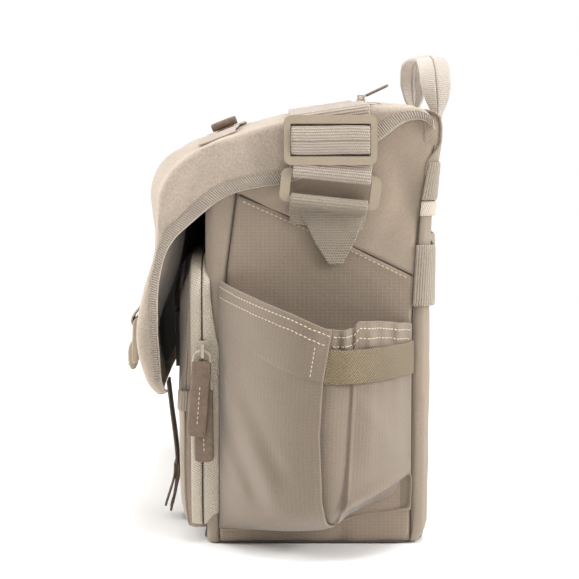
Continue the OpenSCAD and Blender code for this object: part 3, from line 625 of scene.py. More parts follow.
# lining of the main compartment
def cup(name, hx, hy, cx, cy, r, z0, ztop, mat, n=200, body="bag"):
    rows = []
    for k in (0.02, 0.3, 0.6, 0.85, 0.96):
        q = loop_outline(hx * k, hy * k, max(r * k, 0.3), n)
        rows.append(np.stack([q[:, 0] + cx, q[:, 1] + cy, np.full(n, z0)], 1))
    q = loop_outline(hx, hy, r, n)
    for t in np.concatenate([[0.0, 0.01], np.linspace(0.03, 1, 26)]):
        rows.append(np.stack([q[:, 0] + cx, q[:, 1] + cy, z0 + 1.0 * (t > 0) + t * (ztop(q[:, 0] + cx, q[:, 1] + cy) - z0 - 1.0)], 1))
    P = np.array(rows)
    nn = unit(P - [cx, cy, 0] * np.array([1, 1, 0]))
    P[5:] -= (nn * [1, 1, 0])[5:] * (0.6 + 0.5 * fbm(P[5:], 45, 21))[..., None]
    faces = gfaces(P.shape[0], n, wv=True)
    Q = P.copy(); Q[5:] += (nn * [1, 1, 0])[5:] * 1.0; Q[:5, :, 2] -= 0.8
    m = P.shape[0] * n
    faces += [tuple(m + i for i in f[::-1]) for f in gfaces(P.shape[0], n, wv=True)]
    faces += [((P.shape[0] - 1) * n + j, (P.shape[0] - 1) * n + (j + 1) % n, m + (P.shape[0] - 1) * n + (j + 1) % n, m + (P.shape[0] - 1) * n + j) for j in range(n)]
    faces += [tuple(range(n))[::-1], tuple(range(m, m + n))]
    per = arclen(P[12])
    per = np.append(per, per[-1])[:n]
    UV = np.stack([np.broadcast_to(per[None], P.shape[:2]), P[..., 2]], -1).reshape(-1, 2)
    ob = make(name, np.concatenate([P.reshape(-1, 3), Q.reshape(-1, 3)]), faces, np.concatenate([UV, UV]), mat, body)
    bm = bmesh.new(); bm.from_mesh(ob.data); bmesh.ops.recalc_face_normals(bm, faces=bm.faces); bm.to_mesh(ob.data); bm.free()
    return ob
lin = cup("compartment_lining_cloth", 181.2, 61.5, 0, 17.5, 8, 9.2, lambda x, y: np.minimum(zt(y), 268) - 2.0, M["lining"])
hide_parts("compartment_lining")

def pad_box(name, lo, hi, r, mat, body="bag", seg=6, crown=1.2, cuts=22):
    """A padded slab with rounded edges and a crowned face."""
    lo, hi = np.array(lo, float), np.array(hi, float)
    h, c = (hi - lo) / 2, (hi + lo) / 2
    bm = bmesh.new()
    bmesh.ops.create_cube(bm, size=2.0)
    bmesh.ops.subdivide_edges(bm, edges=bm.edges[:], cuts=cuts, use_grid_fill=True)
    co = np.array([v.co for v in bm.verts])
    # crowd the points towards the edges, where the rounding is
    co = np.sign(co) * (1 - (1 - np.abs(co)) ** 1.35)
    p = co * h
    q = np.clip(p, -(h - r), h - r)
    p = q + unit(p - q + 1e-9 * co) * r
    k = int(np.argmin(h))
    o = [i for i in range(3) if i != k]
    cr = np.clip(1 - (p[:, o[0]] / h[o[0]]) ** 2, 0, 1) ** 0.5 * np.clip(1 - (p[:, o[1]] / h[o[1]]) ** 2, 0, 1) ** 0.5
    p[:, k] += np.sign(p[:, k]) * (cr - 1) * crown
    p[:, k] += fbm(p + c, 30, 31) * 0.4 * (np.abs(co[:, k]) > 0.98)
    for v, a in zip(bm.verts, p + c):
        v.co = Vector(a * MM)
    me = bpy.data.meshes.new(name); 
    uvl = bm.loops.layers.uv.new("UV")
    for f in bm.faces:
        n = f.normal
        f.smooth = True
        for l in f.loops:
            v = l.vert.co
            l[uvl].uv = (v.y + 0.3 * v.x, v.z + 0.3 * v.x) if abs(n.x) > 0.5 else ((v.x, v.z) if abs(n.y) > 0.5 else (v.x, v.y))
    bm.to_mesh(me); bm.free()
    me.materials.append(mat)
    ob = bpy.data.objects.new(name, me); bpy.context.scene.collection.objects.link(ob)
    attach(ob, body)
    return ob

for s, x in (("right", 61.0), ("left", -61.0)):
    d = pad_box(f"divider_{s}_pad", (x - 4.2, -43.6, 10.6), (x + 4.2, 77.8, 205), 3.4, M["divider"])
    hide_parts(f"divider_{s}")
    tz_ = [(x, y, 204.2) for y in np.linspace(-41, 75, 30)]
    b = sweep(f"divider_{s}_binding", np.array(tz_), np.stack([np.sin(np.linspace(0, 2 * np.pi, 12, endpoint=False)) * 2.2, np.cos(np.linspace(0, 2 * np.pi, 12, endpoint=False)) * 4.4], 1), np.tile([0, 0, 1.0], (30, 1)), M["bind_body"])

# ------------------------------------------------------------------ front pocket
PHX, PHZ, PR, PCZ = 190.0, 91.0, 24.0, 97.0
def pocket_outline(ins, n=260):
    q = loop_outline(PHX - ins, PHZ - ins, max(PR - ins, 1.5), n)
    return q + [0, PCZ]
prof = [(0.3, -52.2), (-0.1, -56), (-0.2, -59.5), (0.0, -62.0), (0.5, -64.2), (1.6, -66.2), (3.4, -67.8), (6, -68.9), (10, -69.5), (16, -69.9), (26, -70.1), (42, -70.2), (58, -70.2), (74, -70.2), (84, -70.2), (89.2, -70.2)]
V = np.array([np.stack([pocket_outline(i)[:, 0], np.full(260, y), pocket_outline(i)[:, 1]], 1) for i, y in prof])
zz = V[..., 2]
amp = lerp(zz, [6, 14, 30, 60, 95, 115, 140, 165, 188], [0.3, 0.6, 0.92, 1.08, 1.02, 0.75, 0.35, 0.05, 0.0])
ins = np.array([p[0] for p in prof])[:, None]
edge = sstep(30 - ins, 0, 30)
amp = np.maximum(amp, 0.95 * sstep(150 - np.abs(V[..., 0]), 0, 40))
V[..., 1] = np.where(V[..., 1] < -62, -62 + (V[..., 1] + 62) * (1 + (amp - 1) * edge), V[..., 1])
ax = np.abs(V[..., 0])
crown = 6.0 * np.clip(1 - (ax / 176) ** 2, 0, 1) * np.clip(1 - ((zz - 92) / 92) ** 2, 0, 1) ** 0.6
crown *= 1 - 0.97 * sstep(28 - np.abs(ax - 105), 0, 12) * sstep(zz, 8, 20) * sstep(178 - zz, 0, 20)
crown = np.where(sstep(22 - np.abs(ax - 105), 0, 8) > 0, np.minimum(crown, 0.4), crown)
V[..., 1] -= crown * (V[..., 1] < -64)
V[..., 1] += (0.45 * fbm(V, 48, 41) + 0.12 * noise(V, 9, 43)) * (V[..., 1] < -64) - 0.1
nu, nv = V.shape[:2]
faces = gfaces(nu, nv, wv=True)
verts = V.reshape(-1, 3)
# the innermost ring is a narrow strip, closed by stitching its two long sides together
ring, off_ = V[-1], (nu - 1) * nv
lo_i, hi_i = int(np.argmin(ring[:, 0])), int(np.argmax(ring[:, 0]))
ca = [(lo_i + k) % nv for k in range((hi_i - lo_i) % nv + 1)]
cb = [(lo_i - k) % nv for k in range((lo_i - hi_i) % nv + 1)]
ia = ib = 0
while ia < len(ca) - 1 or ib < len(cb) - 1:
    if ib >= len(cb) - 1 or (ia < len(ca) - 1 and ring[ca[ia + 1], 0] <= ring[cb[ib + 1], 0]):
        t3 = (ca[ia], ca[ia + 1], cb[ib]); ia += 1
    else:
        t3 = (ca[ia], cb[ib + 1], cb[ib]); ib += 1
    if len(set(t3)) == 3:
        faces.append(tuple(off_ + k for k in t3))
faces.append(tuple(range(nv)))
uv = np.stack([V[..., 0], V[..., 2]], -1).reshape(-1, 2)
fp = make("front_pocket_shell", verts, faces, uv, M["cloth"])
bm = bmesh.new(); bm.from_mesh(fp.data); bmesh.ops.recalc_face_normals(bm, faces=bm.faces); bm.to_mesh(fp.data); bm.free()
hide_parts("front_pocket_panel", "front_pocket_gusset")
# piping where the gusset meets the front
pp = V[5].copy()
ctr = np.array([0, -60, PCZ])
pp = pp + unit(pp - ctr) * 0.25
pipe = sweep("front_pocket_piping", pp, circle(0.8, 8), unit(pp - ctr), M["cloth"], closed=True)

# the zip that runs up one end, over the top and down the other
full = pocket_outline(0.0, 900)
full = np.roll(full, -450, 0)          # starts at the top's middle
ang = arclen(full)
order = np.argsort(np.arctan2(full[:, 0], full[:, 1] - PCZ - 5))
line = full[order]
keep = line[:, 1] > 13.0
line = line[keep]
line = line[np.argsort(np.arctan2(line[:, 0], line[:, 1] - 60))][::-1]   # from the +X foot, over the top, to the -X foot
line = resample(line, 420)
tn = tangents(np.concatenate([line, np.zeros((len(line), 1))], 1))[:, :2]
nrm = np.stack([-tn[:, 1], tn[:, 0]], 1)
nrm *= np.sign(np.sum(nrm * (line - [0, PCZ]), 1))[:, None]
ZC = -54.6
def zip_half(name, ya, yb_, mat):
    prof = np.linspace(0, 1, 9)
    P = []
    for (x, z), (nx, nz) in zip(line, nrm):
        side = sstep(abs(x), 180, 189)
        e = ya(z, side); c = yb_
        y = e + (c - e) * prof
        off = 0.55 + 1.25 * np.sin(np.pi * np.clip(prof * 0.62 + 0.02, 0, 1)) ** 0.7
        off[-1] = 0.5; off[-2] = 1.35
        P.append(np.stack([x + nx * off, y, z + nz * off], 1))
    P = np.array(P)
    return P
rightY = lambda z, side: float(lerp(z, [14, 122, 130, 140, 150, 163, 188], [-44.4, -44.0, -43.8, -46.0, -47.6, -49.2, -51.0])) * side + -51.0 * (1 - side)
P1 = zip_half("a", lambda z, s: -61.6, ZC - 0.22, None)
P2 = zip_half("b", rightY, ZC + 0.22, None)
s_ = arclen(np.concatenate([line, np.zeros((len(line), 1))], 1))
for nm, P, sg in (("front_zip_tape_outer", P1, 1), ("front_zip_tape_inner", P2, -1)):
    UV = np.stack([np.broadcast_to(s_[:, None], P.shape[:2]), P[..., 1]], -1)
    ob = thick(nm, P, 0.7, UV, M["tape"], sign=sg, rim=2)
    if sg == 1:
        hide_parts("front_zip_tape")
# teeth show as small knuckles over a dark strip, which paints the shade in the gap between them
ridge = np.stack([line[:, 0] + nrm[:, 0] * 0.55, np.full(len(line), ZC), line[:, 1] + nrm[:, 1] * 0.55], 1)
n3 = np.stack([nrm[:, 0], np.zeros(len(nrm)), nrm[:, 1]], 1)
gap = webbing("front_zip_gap", ridge + n3 * 1.2, (0, 1, 0), 0.8, 0.5, M["coildark"], cols=3)
teeth = stitches("front_zip_teeth", [(ridge + n3 * 0.95 + [0, 0.8, 0], n3), (ridge + n3 * 0.95 - [0, 0.8, 0], n3)], M["coil"], pitch=1.7, length=0.9, r=0.45)
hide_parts("front_zip_coil")
# seams of the tape
for k, (P, col) in enumerate(((P1, 1), (P2, 1))):
    l = P[:, col] + n3 * 0.35
    st = stitches(f"front_zip_stitch_{k}", [(l, n3)], M["tape"], pitch=2.6, length=1.9, r=0.22)

# ------------------------------------------------------------------ bottle pockets
def mouth(y): return lerp(y, [-44, -39.8, -19.8, 3.2, 27.7, 34, 43, 46.5, 60, 72, 83], [174.5, 173, 167, 159.7, 149.7, 149.2, 149.6, 153.8, 152.4, 149.4, 146.4])
def yA(z): return lerp(z, [8, 12.5, 15, 18, 22, 28, 40, 85, 118, 150], [42, 38.5, 34, 29.5, 26.5, 24.6, 22.5, 20.5, 22.5, 28.4])
def yC(z): return lerp(z, [12, 22, 30, 40, 85, 118, 160], [31, 33, 35.5, 37.8, 40, 41.8, 43])
def zf(y): return lerp(y, [30, 36, 60, 84], [30, 31.5, 41, 49.5])
def zb(y): return lerp(y, [-44, 0, 24, 38, 50, 84], [10.2, 11.2, 12.6, 16.5, 20, 24])
PRF = spline([(0, 11), (16, 11.8), (30, 14.4), (46, 20.5), (57, 30), (62.5, 43), (66, 62), (67.6, 84), (68, 100)], 90)

def puff(y, z, kind, sd):
    p = np.stack([0 * y, y, z], -1)
    d = 0.0
    if kind == "front":
        # soft folds that run down from the front seam towards the middle of the foot
        def ridge(y0, z0, y1, z1, w, a, fl=0.25):
            dy, dz = y1 - y0, z1 - z0; L = math.hypot(dy, dz)
            t = ((y - y0) * dy + (z - z0) * dz) / L ** 2
            q = ((y - y0) * dz - (z - z0) * dy) / L
            return a * np.exp(-(q / w) ** 2) * sstep(t, -0.1, fl) * sstep(1 - t, -0.1, fl)
        d = ridge(-44, 118, -6, 38, 6.5, 4.2) - ridge(-46, 96, -14, 30, 6, 3.6) + ridge(-46, 74, -24, 36, 5, 2.8) - ridge(-30, 112, 2, 50, 5, 1.6)
        d += ridge(-30, 128, 12, 112, 6, -0.9) + ridge(16, 96, 18, 24, 3.5, 1.0)
        # facing's lower edge and the hem
        fl = lerp(y, [-44, -40.5, -19.6, -3.3, 21.2, 26], [152, 149, 132.8, 125.7, 118.7, 118])
        d -= 1.15 * sstep(fl - z, -0.5, 0.5) * np.exp(-np.clip(fl - z, 0, 99) / 9)
        d += 0.5 * fbm(p, 30, 61 + sd)
        d += 0.9 * np.exp(-((y - yA(z)) / 2.2) ** 2)
    else:
        yc = yC(z)
        d = -5.0 - 2.5 * np.exp(-((z - 26) / 16) ** 2) + 1.6 * np.sin(np.pi * np.clip((y - yA(z)) / np.maximum(yc - yA(z), 1), 0, 1)) + (1.4 + 2.4 * np.exp(-((z - 30) / 26) ** 2)) * sstep(y, yc - 1.5, yc + 1.5) + 0.9 * np.exp(-((y - yc - 1.2) / 1.3) ** 2)
        d -= 0.5 * np.exp(-((y - (yc - 1.4)) / 2.0) ** 2) * sstep(140 - z, 0, 60)
        # full below the elastic, pulled in under it
        full = sstep(y, yc, yc + 16) * sstep(84 - y, 0, 20)
        d += 5.5 * full * sstep(z, 40, 80) * sstep(126 - z, 8, 46)
        d -= 2.2 * np.exp(-((z - 126) / 9) ** 2) * sstep(y, 22, 34)
        g = np.sin(y / 2.7 + 1.4 * np.sin(y / 6.1 + sd)) * 1.3 + 0.6 * np.sin(y / 1.45 + 2 + sd)
        d += g * 1.9 * sstep(z, 134, 140) * (1 - 0.62 * sstep(z, 144, 153)) * sstep(y, 30, 36)
        d += g * 0.8 * sstep(120 - z, 0, 5) * np.exp(-np.clip(118 - z, 0, 99) / 20) * sstep(y, yc, yc + 6)
        # the cloth folds under along a slant, above the foot
        z0 = zf(y)
        d += 4.6 * np.exp(-((z - z0 - 4) / 4.5) ** 2) * sstep(y, 34, 42)
        d -= (15 + 12 * sstep(y, 36, 60)) * sstep(z0 - z, -1.0, 4.5) * sstep(y, 33, 42)
        # soft folds from the upper rear corner
        q = ((y - 56) * 0.86 + (z - 92) * 0.5)
        d += 1.5 * np.exp(-(q / 5) ** 2) * sstep(z, 50, 70) * sstep(118 - z, 0, 20) - 1.3 * np.exp(-((q - 12) / 6) ** 2) * sstep(z, 50, 70) * sstep(118 - z, 0, 25)
        d += 0.5 * fbm(p, 24, 71 + sd)
    return d

def pocket_sheet(sx, kind):
    side = "right" if sx > 0 else "left"; sd = 0 if sx > 0 else 5
    t = np.concatenate([np.linspace(0, 0.5, 90)[:-1], np.linspace(0.5, 1, 84)])
    if kind == "front":
        c = np.concatenate([[0, 0.004, 0.012], np.linspace(0.025, 0.96, 72), [0.972, 0.984, 0.992, 1.0]])
    else:
        c = np.concatenate([np.linspace(0, 0.3, 12), np.linspace(0.33, 0.45, 22), np.linspace(0.47, 0.96, 84), [0.975, 0.99, 1.0]])
    T, C = np.meshgrid(t, c, indexing="ij")
    y = 20.0 + 0 * T; z = 80.0 + 0 * T
    for _ in range(8):
        if kind == "front":
            y = -43.6 + C * (yA(z) + 43.6)
        else:
            y0 = yA(z) - 11; yc = yC(z)
            y = np.where(C < 0.39, y0 + C / 0.39 * (yc - y0), yc + (C - 0.39) / 0.61 * (82.7 - yc))
        pz = np.interp(np.clip(T * 2, 0, 1), np.linspace(0, 1, 90), PRF[:, 1])
        mz = mouth(y) - (0.0 if kind == "front" else 0.0)
        if kind == "back":
            mz = np.where(y < 30, 150 + 0 * y, mz)
        z = np.where(T < 0.5, pz, 100 + (mz - 100) * (T - 0.5) * 2)
        z = z + (zb(y) - 11) * (1 - sstep(z, 14, 64))
    Dm = np.interp(np.clip(T * 2, 0, 1), np.linspace(0, 1, 90), PRF[:, 0])
    u = np.clip((y - 19.5) / 63.4, -1, 1)
    s = (1 - np.abs(u) ** 1.8) ** 0.85
    fade = sstep(Dm * s, 0, 9)
    x = 190.3 + Dm * s + puff(y, z, kind, sd) * fade * (0.35 + 0.65 * s)
    x = np.maximum(x, 190.0)
    P = np.stack([x * sx, y, z], -1)
    dy = np.concatenate([[0], np.cumsum(np.abs(np.diff(y[120])) * 1.0)])
    arc = arclen(P[120][:, :2])
    vv = np.stack([arclen(P[:, j]) for j in range(0, P.shape[1])], 1)
    UV = np.stack([np.broadcast_to(arc[None], y.shape), vv], -1)
    # the pocket cloth is a darker copy of the ripstop: painted shade
    ob = thick(f"bottle_pocket_{kind}_{side}", P, 2.0 if kind == "front" else 1.4, UV, M["pocket"], sign=-sx)
    return ob, P, x, y, z

for sx in (1, -1):
    side = "right" if sx > 0 else "left"
    a, PA, xa, ya, za = pocket_sheet(sx, "front")
    b, PB, xb, yb2, zb2 = pocket_sheet(sx, "back")
    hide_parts(f"bottle_pocket_{side}")
    NA, NB = gnormals(PA) * -sx, gnormals(PB) * -sx
    # two rows of stitches under the hem, and the short row that closes the facing
    def row_at(P, N, x, y, z, dist, c0=2, c1=-2, lift=0.12):
        pts, nn = [], []
        for j in range(x.shape[1])[c0:c1]:
            zz_ = z[:, j]; target = zz_[-1] - dist
            i = int(np.argmin(np.abs(zz_ - target)))
            i = min(max(i, 1), len(zz_) - 1)
            w = np.clip((target - zz_[i - 1]) / max(zz_[i] - zz_[i - 1], 1e-6), 0, 1)
            pts.append(P[i - 1, j] * (1 - w) + P[i, j] * w); nn.append(N[i, j])
        pts, nn = np.array(pts), np.array(nn)
        return pts + nn * lift, nn
    rows = [row_at(PA, NA, xa, ya, za, 3.0), row_at(PA, NA, xa, ya, za, 9.4)]
    jb = int(np.argmin(np.abs(yb2[-1] - 30)))
    rows += [row_at(PB, NB, xb, yb2, zb2, 4.0, jb), row_at(PB, NB, xb, yb2, zb2, 10.0, jb)]
    st = stitches(f"pocket_hem_stitch_{side}", rows, M["thread"], pitch=3.1, length=2.3, r=0.36)
    j = int(np.argmin(np.abs(ya[130] - 16.5)))
    m_ = (za[:, j] > 121) & (za[:, j] < 141)
    st = stitches(f"pocket_facing_stitch_{side}", [(PA[m_, j] + NA[m_, j] * 0.12, NA[m_, j])], M["thread"], pitch=2.8, length=2.0, r=0.30)
    # elastic band over the gathered part, caught behind the front part's edge
    ys = np.concatenate([np.linspace(20.5, 80, 70), np.linspace(80.5, 82.7, 6)])
    vs = np.linspace(0, 1, 17)
    Y, V = np.meshgrid(ys, vs, indexing="ij")
    Zc = lerp(Y, [20, 90], [117.2, 114.6]) + V * 20.2
    u = np.clip((Y - 19.5) / 64.2, -1, 1)
    X = 190.4 + 68.6 * (1 - np.abs(u) ** 1.8) ** 0.85
    X -= 3.2 * (1 - sstep(Y, 24, 40)) + 1.0
    X += 0.8 * (1 - (2 * V - 1) ** 2) + 0.35 * noise(np.stack([0 * Y, Y, Zc], -1), 9, 3)
    Zc = Zc + 0.35 * np.sin(Y / 2.1) * (V - 0.5)
    P = np.stack([X * sx, Y, Zc], -1)
    el = thick(f"elastic_band_cloth_{side}", P, 1.3, None, M["elastic"], sign=-sx)
    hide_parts(f"elastic_band_{side}")
    # seam cord along the foot
    ys = np.linspace(-43, 82.5, 90)
    u = np.clip((ys - 19.5) / 63.4, -1, 1)
    sm = np.stack([np.full_like(ys, 190.6 * sx), ys, zb(ys) - 0.6], 1)
    pipe = sweep(f"pocket_foot_seam_{side}", sm, circle(0.9, 8), np.tile([sx, 0, 0.2], (90, 1)), M["thread_t"])

# ------------------------------------------------------------------ flap
FP = [(96.2, 276), (91, 285), (84, 287.5), (70, 288), (57, 287.5), (54, 287.2), (40, 285.6), (25, 283.4), (12, 281), (3, 279.2), (-12, 275.6), (-31, 270), (-43, 266), (-56, 260.4), (-68, 252.5), (-77, 243),
      (-82, 232), (-83.5, 218), (-84, 204), (-86, 190), (-90, 176), (-94, 162), (-97, 148), (-97.5, 134), (-95, 120), (-90, 106), (-84, 98)]
FB = [(96, 274), (91, 279), (82, 280), (74, 277), (59, 266), (36, 253.5), (16, 244.5), (-2, 238.5), (-16, 236.6), (-32, 233),
      (-43, 228), (-56, 218), (-64, 211), (-72, 203.4), (-78, 194), (-81, 184), (-83, 174), (-84, 162), (-84, 150), (-84, 140), (-83, 126), (-82, 111), (-79, 98.6)]
NS = 190
Pl = spline(FP, NS); Bl0 = spline(FB, 800)
Tl = tangents(Pl)
Nl = np.stack([Tl[:, 1], -Tl[:, 0]], 1)                  # outward in Y, Z
if Nl[NS // 3, 1] < 0: Nl = -Nl
sP = arclen(Pl)
# each station's lower point: B taken at the same share of its length, bent towards square to the line
shB = np.interp(np.linspace(0, 1, NS), [0, 0.06, 0.13, 0.30, 0.5, 0.62, 0.72, 1.0], [0, 0.045, 0.10, 0.30, 0.49, 0.60, 0.71, 1.0])
sB = arclen(Bl0)
Bl = np.stack([np.interp(shB * sB[-1], sB, Bl0[:, k]) for k in (0, 1)], 1)
HX = 194.1

def flap_grid(inset, nx=90, nsk=16, rc=5.0, bulge=True, skirt=True, x_in=None):
    hxs = HX - inset if x_in is None else x_in
    r = max(rc - inset, 0.6)
    rows = []
    for i in range(NS):
        p = Pl[i] - Nl[i] * inset; b = Bl[i]
        L = np.linalg.norm(b - p); dv = (b - p) / max(L, 1e-6)
        dend = sP[-1] - sP[i]; rr = 15.0
        hx = hxs - (rr - math.sqrt(max(rr * rr - (rr - dend) ** 2, 0)) if dend < rr else 0)
        rk = min(r, L * 0.6)
        sk = np.linspace(1, rk / max(L, 1e-6), nsk)
        side = [(hx, *(p + dv * L * t)) for t in sk]
        arc = [(hx - rk + rk * math.cos(a), *(p + dv * rk * (1 - math.sin(a)))) for a in np.linspace(0, math.pi / 2, 7)[1:]]
        xs = np.linspace(hx - rk, 0, nx // 2 + 1)[1:]
        top = [(x, p[0], p[1]) for x in xs]
        half = side + arc + top
        rows.append(half + [(-x, y, z) for x, y, z in half[-2::-1]])
    G = np.array(rows)
    n3 = np.zeros_like(G); n3[..., 1] = Nl[:, None, 0]; n3[..., 2] = Nl[:, None, 1]
    ax = np.abs(G[..., 0])
    k = np.arange(NS)[:, None] / (NS - 1.0)
    if bulge:
        win = np.exp(-((sP[:, None] - sP[int(NS * 0.56)]) / 34.0) ** 2)
        d = 7.5 * win * sstep(184 - ax, 0, 34)
        d = d - 2.0 * np.exp(-((sP[:, None] - sP[int(NS * 0.47)]) / 9.0) ** 2) * sstep(186 - ax, 0, 8) * np.exp(-np.clip(ax - 120, -70, 99) ** 2 / 3600)
        d = d - 1.6 * np.exp(-((sP[:, None] - sP[int(NS * 0.69)] - (ax - 150) * 0.5) / 8.0) ** 2) * sstep(188 - ax, 0, 8) * sstep(ax, 90, 130)
        d = d + 1.3 * sstep(190 - ax, 0, 26) * np.sin(np.pi * np.clip(k * 1.02, 0, 1)) ** 0.5
        d = d + 0.9 * fbm(G, 62, 81) * sstep(190 - ax, 0, 20) + 0.25 * noise(G, 16, 83) * sstep(192 - ax, 0, 10)
        # a dip under the strap, so the webbing beds into the padding
        d = d - 1.7 * sstep(G[..., 1], 0, 6) * sstep(57 - G[..., 1], 0, 6) * sstep(191 - ax, -2, 4)
        d = d - 0.8 * np.exp(-((sP[:, None] - sP[-1] + 16) / 6) ** 2) * sstep(190 - ax, 0, 10)
        G = G + n3 * (d * sstep(hxs + 3 - ax, 0, 6))[..., None]
        # skirts: a little loose above the binding, with soft dents
        sk = (ax > hxs - 1.2)
        w = fbm(G * [0, 1, 1], 40, 91)
        yy, zz = G[..., 1], G[..., 2]
        def fold(y0, z0, y1, z1, wd, a):
            dy, dz = y1 - y0, z1 - z0; L = math.hypot(dy, dz)
            t = ((yy - y0) * dy + (zz - z0) * dz) / L ** 2
            q = ((yy - y0) * dz - (zz - z0) * dy) / L
            return a * np.exp(-(q / wd) ** 2) * sstep(t, -0.15, 0.2) * sstep(1 - t, -0.15, 0.2)
        f = fold(-44, 264, -80, 208, 5.0, -1.6) + fold(-58, 252, -66, 214, 4, -0.9) + fold(-28, 266, -10, 246, 6, -1.0) + fold(-2, 274, 14, 252, 5, -0.9) + fold(-44, 240, -14, 250, 5, -0.8)
        G[..., 0] += np.sign(G[..., 0]) * sk * np.clip(-0.6 * np.abs(w) + f, -2.2, 0)
    return G

G = flap_grid(0.0)
N0 = gnormals(G)
sg = 1.0 if N0[NS // 3, G.shape[1] // 2, 2] > 0 else -1.0
colarc = arclen(G[NS // 2])
UV = np.stack([np.broadcast_to(colarc[None], G.shape[:2]), np.broadcast_to(sP[:, None], G.shape[:2])], -1)
# the flap's cloth is a lighter copy of the taupe: painted light
shell = thick("flap_shell", G, 2.4, UV, M["flap"], "flap", sign=sg)
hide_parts("flap_top_panel", "flap_front_panel", "flap_end_right", "flap_end_left")

# lining, set 4 mm inside, with a taupe facing next to the skirts
Gi = flap_grid(4.1, bulge=False, rc=6.0, x_in=HX - 2.7)
Gi = Gi[5:-4]
n3 = np.zeros_like(Gi); n3[..., 1] = Nl[5:-4, None, 0]; n3[..., 2] = Nl[5:-4, None, 1]
ax = np.abs(Gi[..., 0])
gz = Gi[..., 2]
old_ = sstep(90 - ax, 0, 40) * np.where(Gi[..., 1] < -20, lerp(gz, [98, 125, 165, 178, 192, 212, 232, 250, 270], [0, 4, 6.5, 10, 20, 21, 15, 6, 0]), lerp(Gi[..., 1], [-20, 0, 60, 78, 90, 96], [0, 9, 11, 10, 7, 0]))
hz_ = sstep(gz, 152, 172)
face_ = lerp(gz, [98, 110, 130, 155, 175, 200, 222, 240, 256], [0, 3.2, 5.4, 6.4, 8.4, 9.4, 8.0, 4.0, 0]) * sstep(187 - ax, 0, 26) * (sstep(ax, 114, 132) * (1 - hz_) + hz_) * (Gi[..., 1] < -30)
inner = np.maximum(old_, face_) + 2.2 * np.exp(-((ax - 150) / 6.0) ** 2) * (Gi[..., 1] < -40) * sstep(gz, 130, 160)
Gi = Gi - n3 * ((0.35 * (1 + fbm(Gi, 40, 101)) + inner) * sstep(188 - ax, 0, 12))[..., None]
nc = Gi.shape[1]; cols = np.arange(nc)
mid = ax[60] < 96
j0, j1 = int(np.argmax(mid)), nc - int(np.argmax(mid[::-1]))
def lin_piece(name, sl, mat):
    g = Gi[:, sl]
    uv = np.stack([np.broadcast_to(arclen(g[80])[None], g.shape[:2]), np.broadcast_to(sP[5:-4, None], g.shape[:2])], -1)
    return thick(name, g, 0.9, uv, mat, "flap", sign=sg)
fl = lin_piece("flap_lining_cloth", slice(j0, j1), M["lining"])
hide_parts("flap_lining")
for s, sl in (("right", slice(0, j0 + 1)), ("left", slice(j1 - 1, nc))):
    fc = lin_piece(f"flap_facing_{s}", sl, M["facing"])

# webbing that binds the flap's edge, folded over it
nh = 10
NG = N0 * sg
nG = G.shape[1]
mid_ = G - NG * 1.3
E = np.concatenate([mid_[1:, 0], mid_[-1, 1:-1], mid_[:0:-1, -1]])
O = np.concatenate([NG[1:, 0], NG[-1, 1:-1], NG[:0:-1, -1]])
I_ = np.concatenate([unit(G[1:, 4] - G[1:, 0]), unit(G[-5, 1:-1] - G[-1, 1:-1]), unit(G[:0:-1, -5] - G[:0:-1, -1])])
k1 = NS - 2; k2 = k1 + nG - 1
for kk in (k1, k2):
    w_ = slice(max(kk - 16, 0), kk + 16)
    for _ in range(22):
        for A in (E, I_, O):
            A[w_][1:-1] = (A[w_][:-2] + 2 * A[w_][1:-1] + A[w_][2:]) / 4
O, I_ = unit(O), unit(I_)
s0 = arclen(E); q = np.linspace(0, s0[-1], 620)
E, O, I_ = [np.stack([np.interp(q, s0, A[:, k]) for k in range(3)], 1) for A in (E, O, I_)]
def smooth(A, n):
    for _ in range(n):
        A[1:-1] = (A[:-2] + 2 * A[1:-1] + A[2:]) / 4
    return A
E, O, I_ = smooth(E, 3), unit(smooth(O, 8)), unit(smooth(I_, 8))
hwz = lerp(E[:, 2], [96, 110, 150, 185, 205, 228, 240], [4.2, 3.8, 3.9, 5.2, 6.8, 8.6, 9.8])
hwid = np.where(np.abs(E[:, 0]) > 150, hwz, 9.0) * lerp(q / q[-1], [0, 0.02, 0.05, 0.95, 0.98, 1], [0.45, 0.7, 1, 1, 0.7, 0.45])
for _ in range(6): hwid[1:-1] = (hwid[:-2] + 2 * hwid[1:-1] + hwid[2:]) / 4
sec = [(1.0, 1.75), (0.96, 2.35), (0.8, 2.5), (0.55, 2.5), (0.3, 2.45), (0.12, 2.2), (0.0, 1.4), (-0.05, 0.0), (0.0, -1.5), (0.12, -2.4), (0.4, -3.0), (0.7, -3.3), (0.92, -3.4), (1.0, -3.0)]
W = np.array([[E[i] + I_[i] * a * hwid[i] + O[i] * b for a, b in sec] for i in range(len(E))])
uvw = np.stack([np.broadcast_to(q[:, None], W.shape[:2]), np.broadcast_to(arclen(W[200])[None], W.shape[:2])], -1)
Nw = gnormals(W); sgw = 1.0 if np.sum(Nw[100, 3] * O[100]) > 0 else -1.0
bind = thick("flap_binding_tape", W, 1.0, uvw, M["bind"], "flap", sign=sgw)
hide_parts("flap_binding")
ln = E + I_ * (hwid * 0.9)[:, None] + O * 2.55
st = stitches("flap_binding_stitch", [(ln, O)], M["thread_t"], "flap", pitch=2.8, length=2.0, r=0.22)

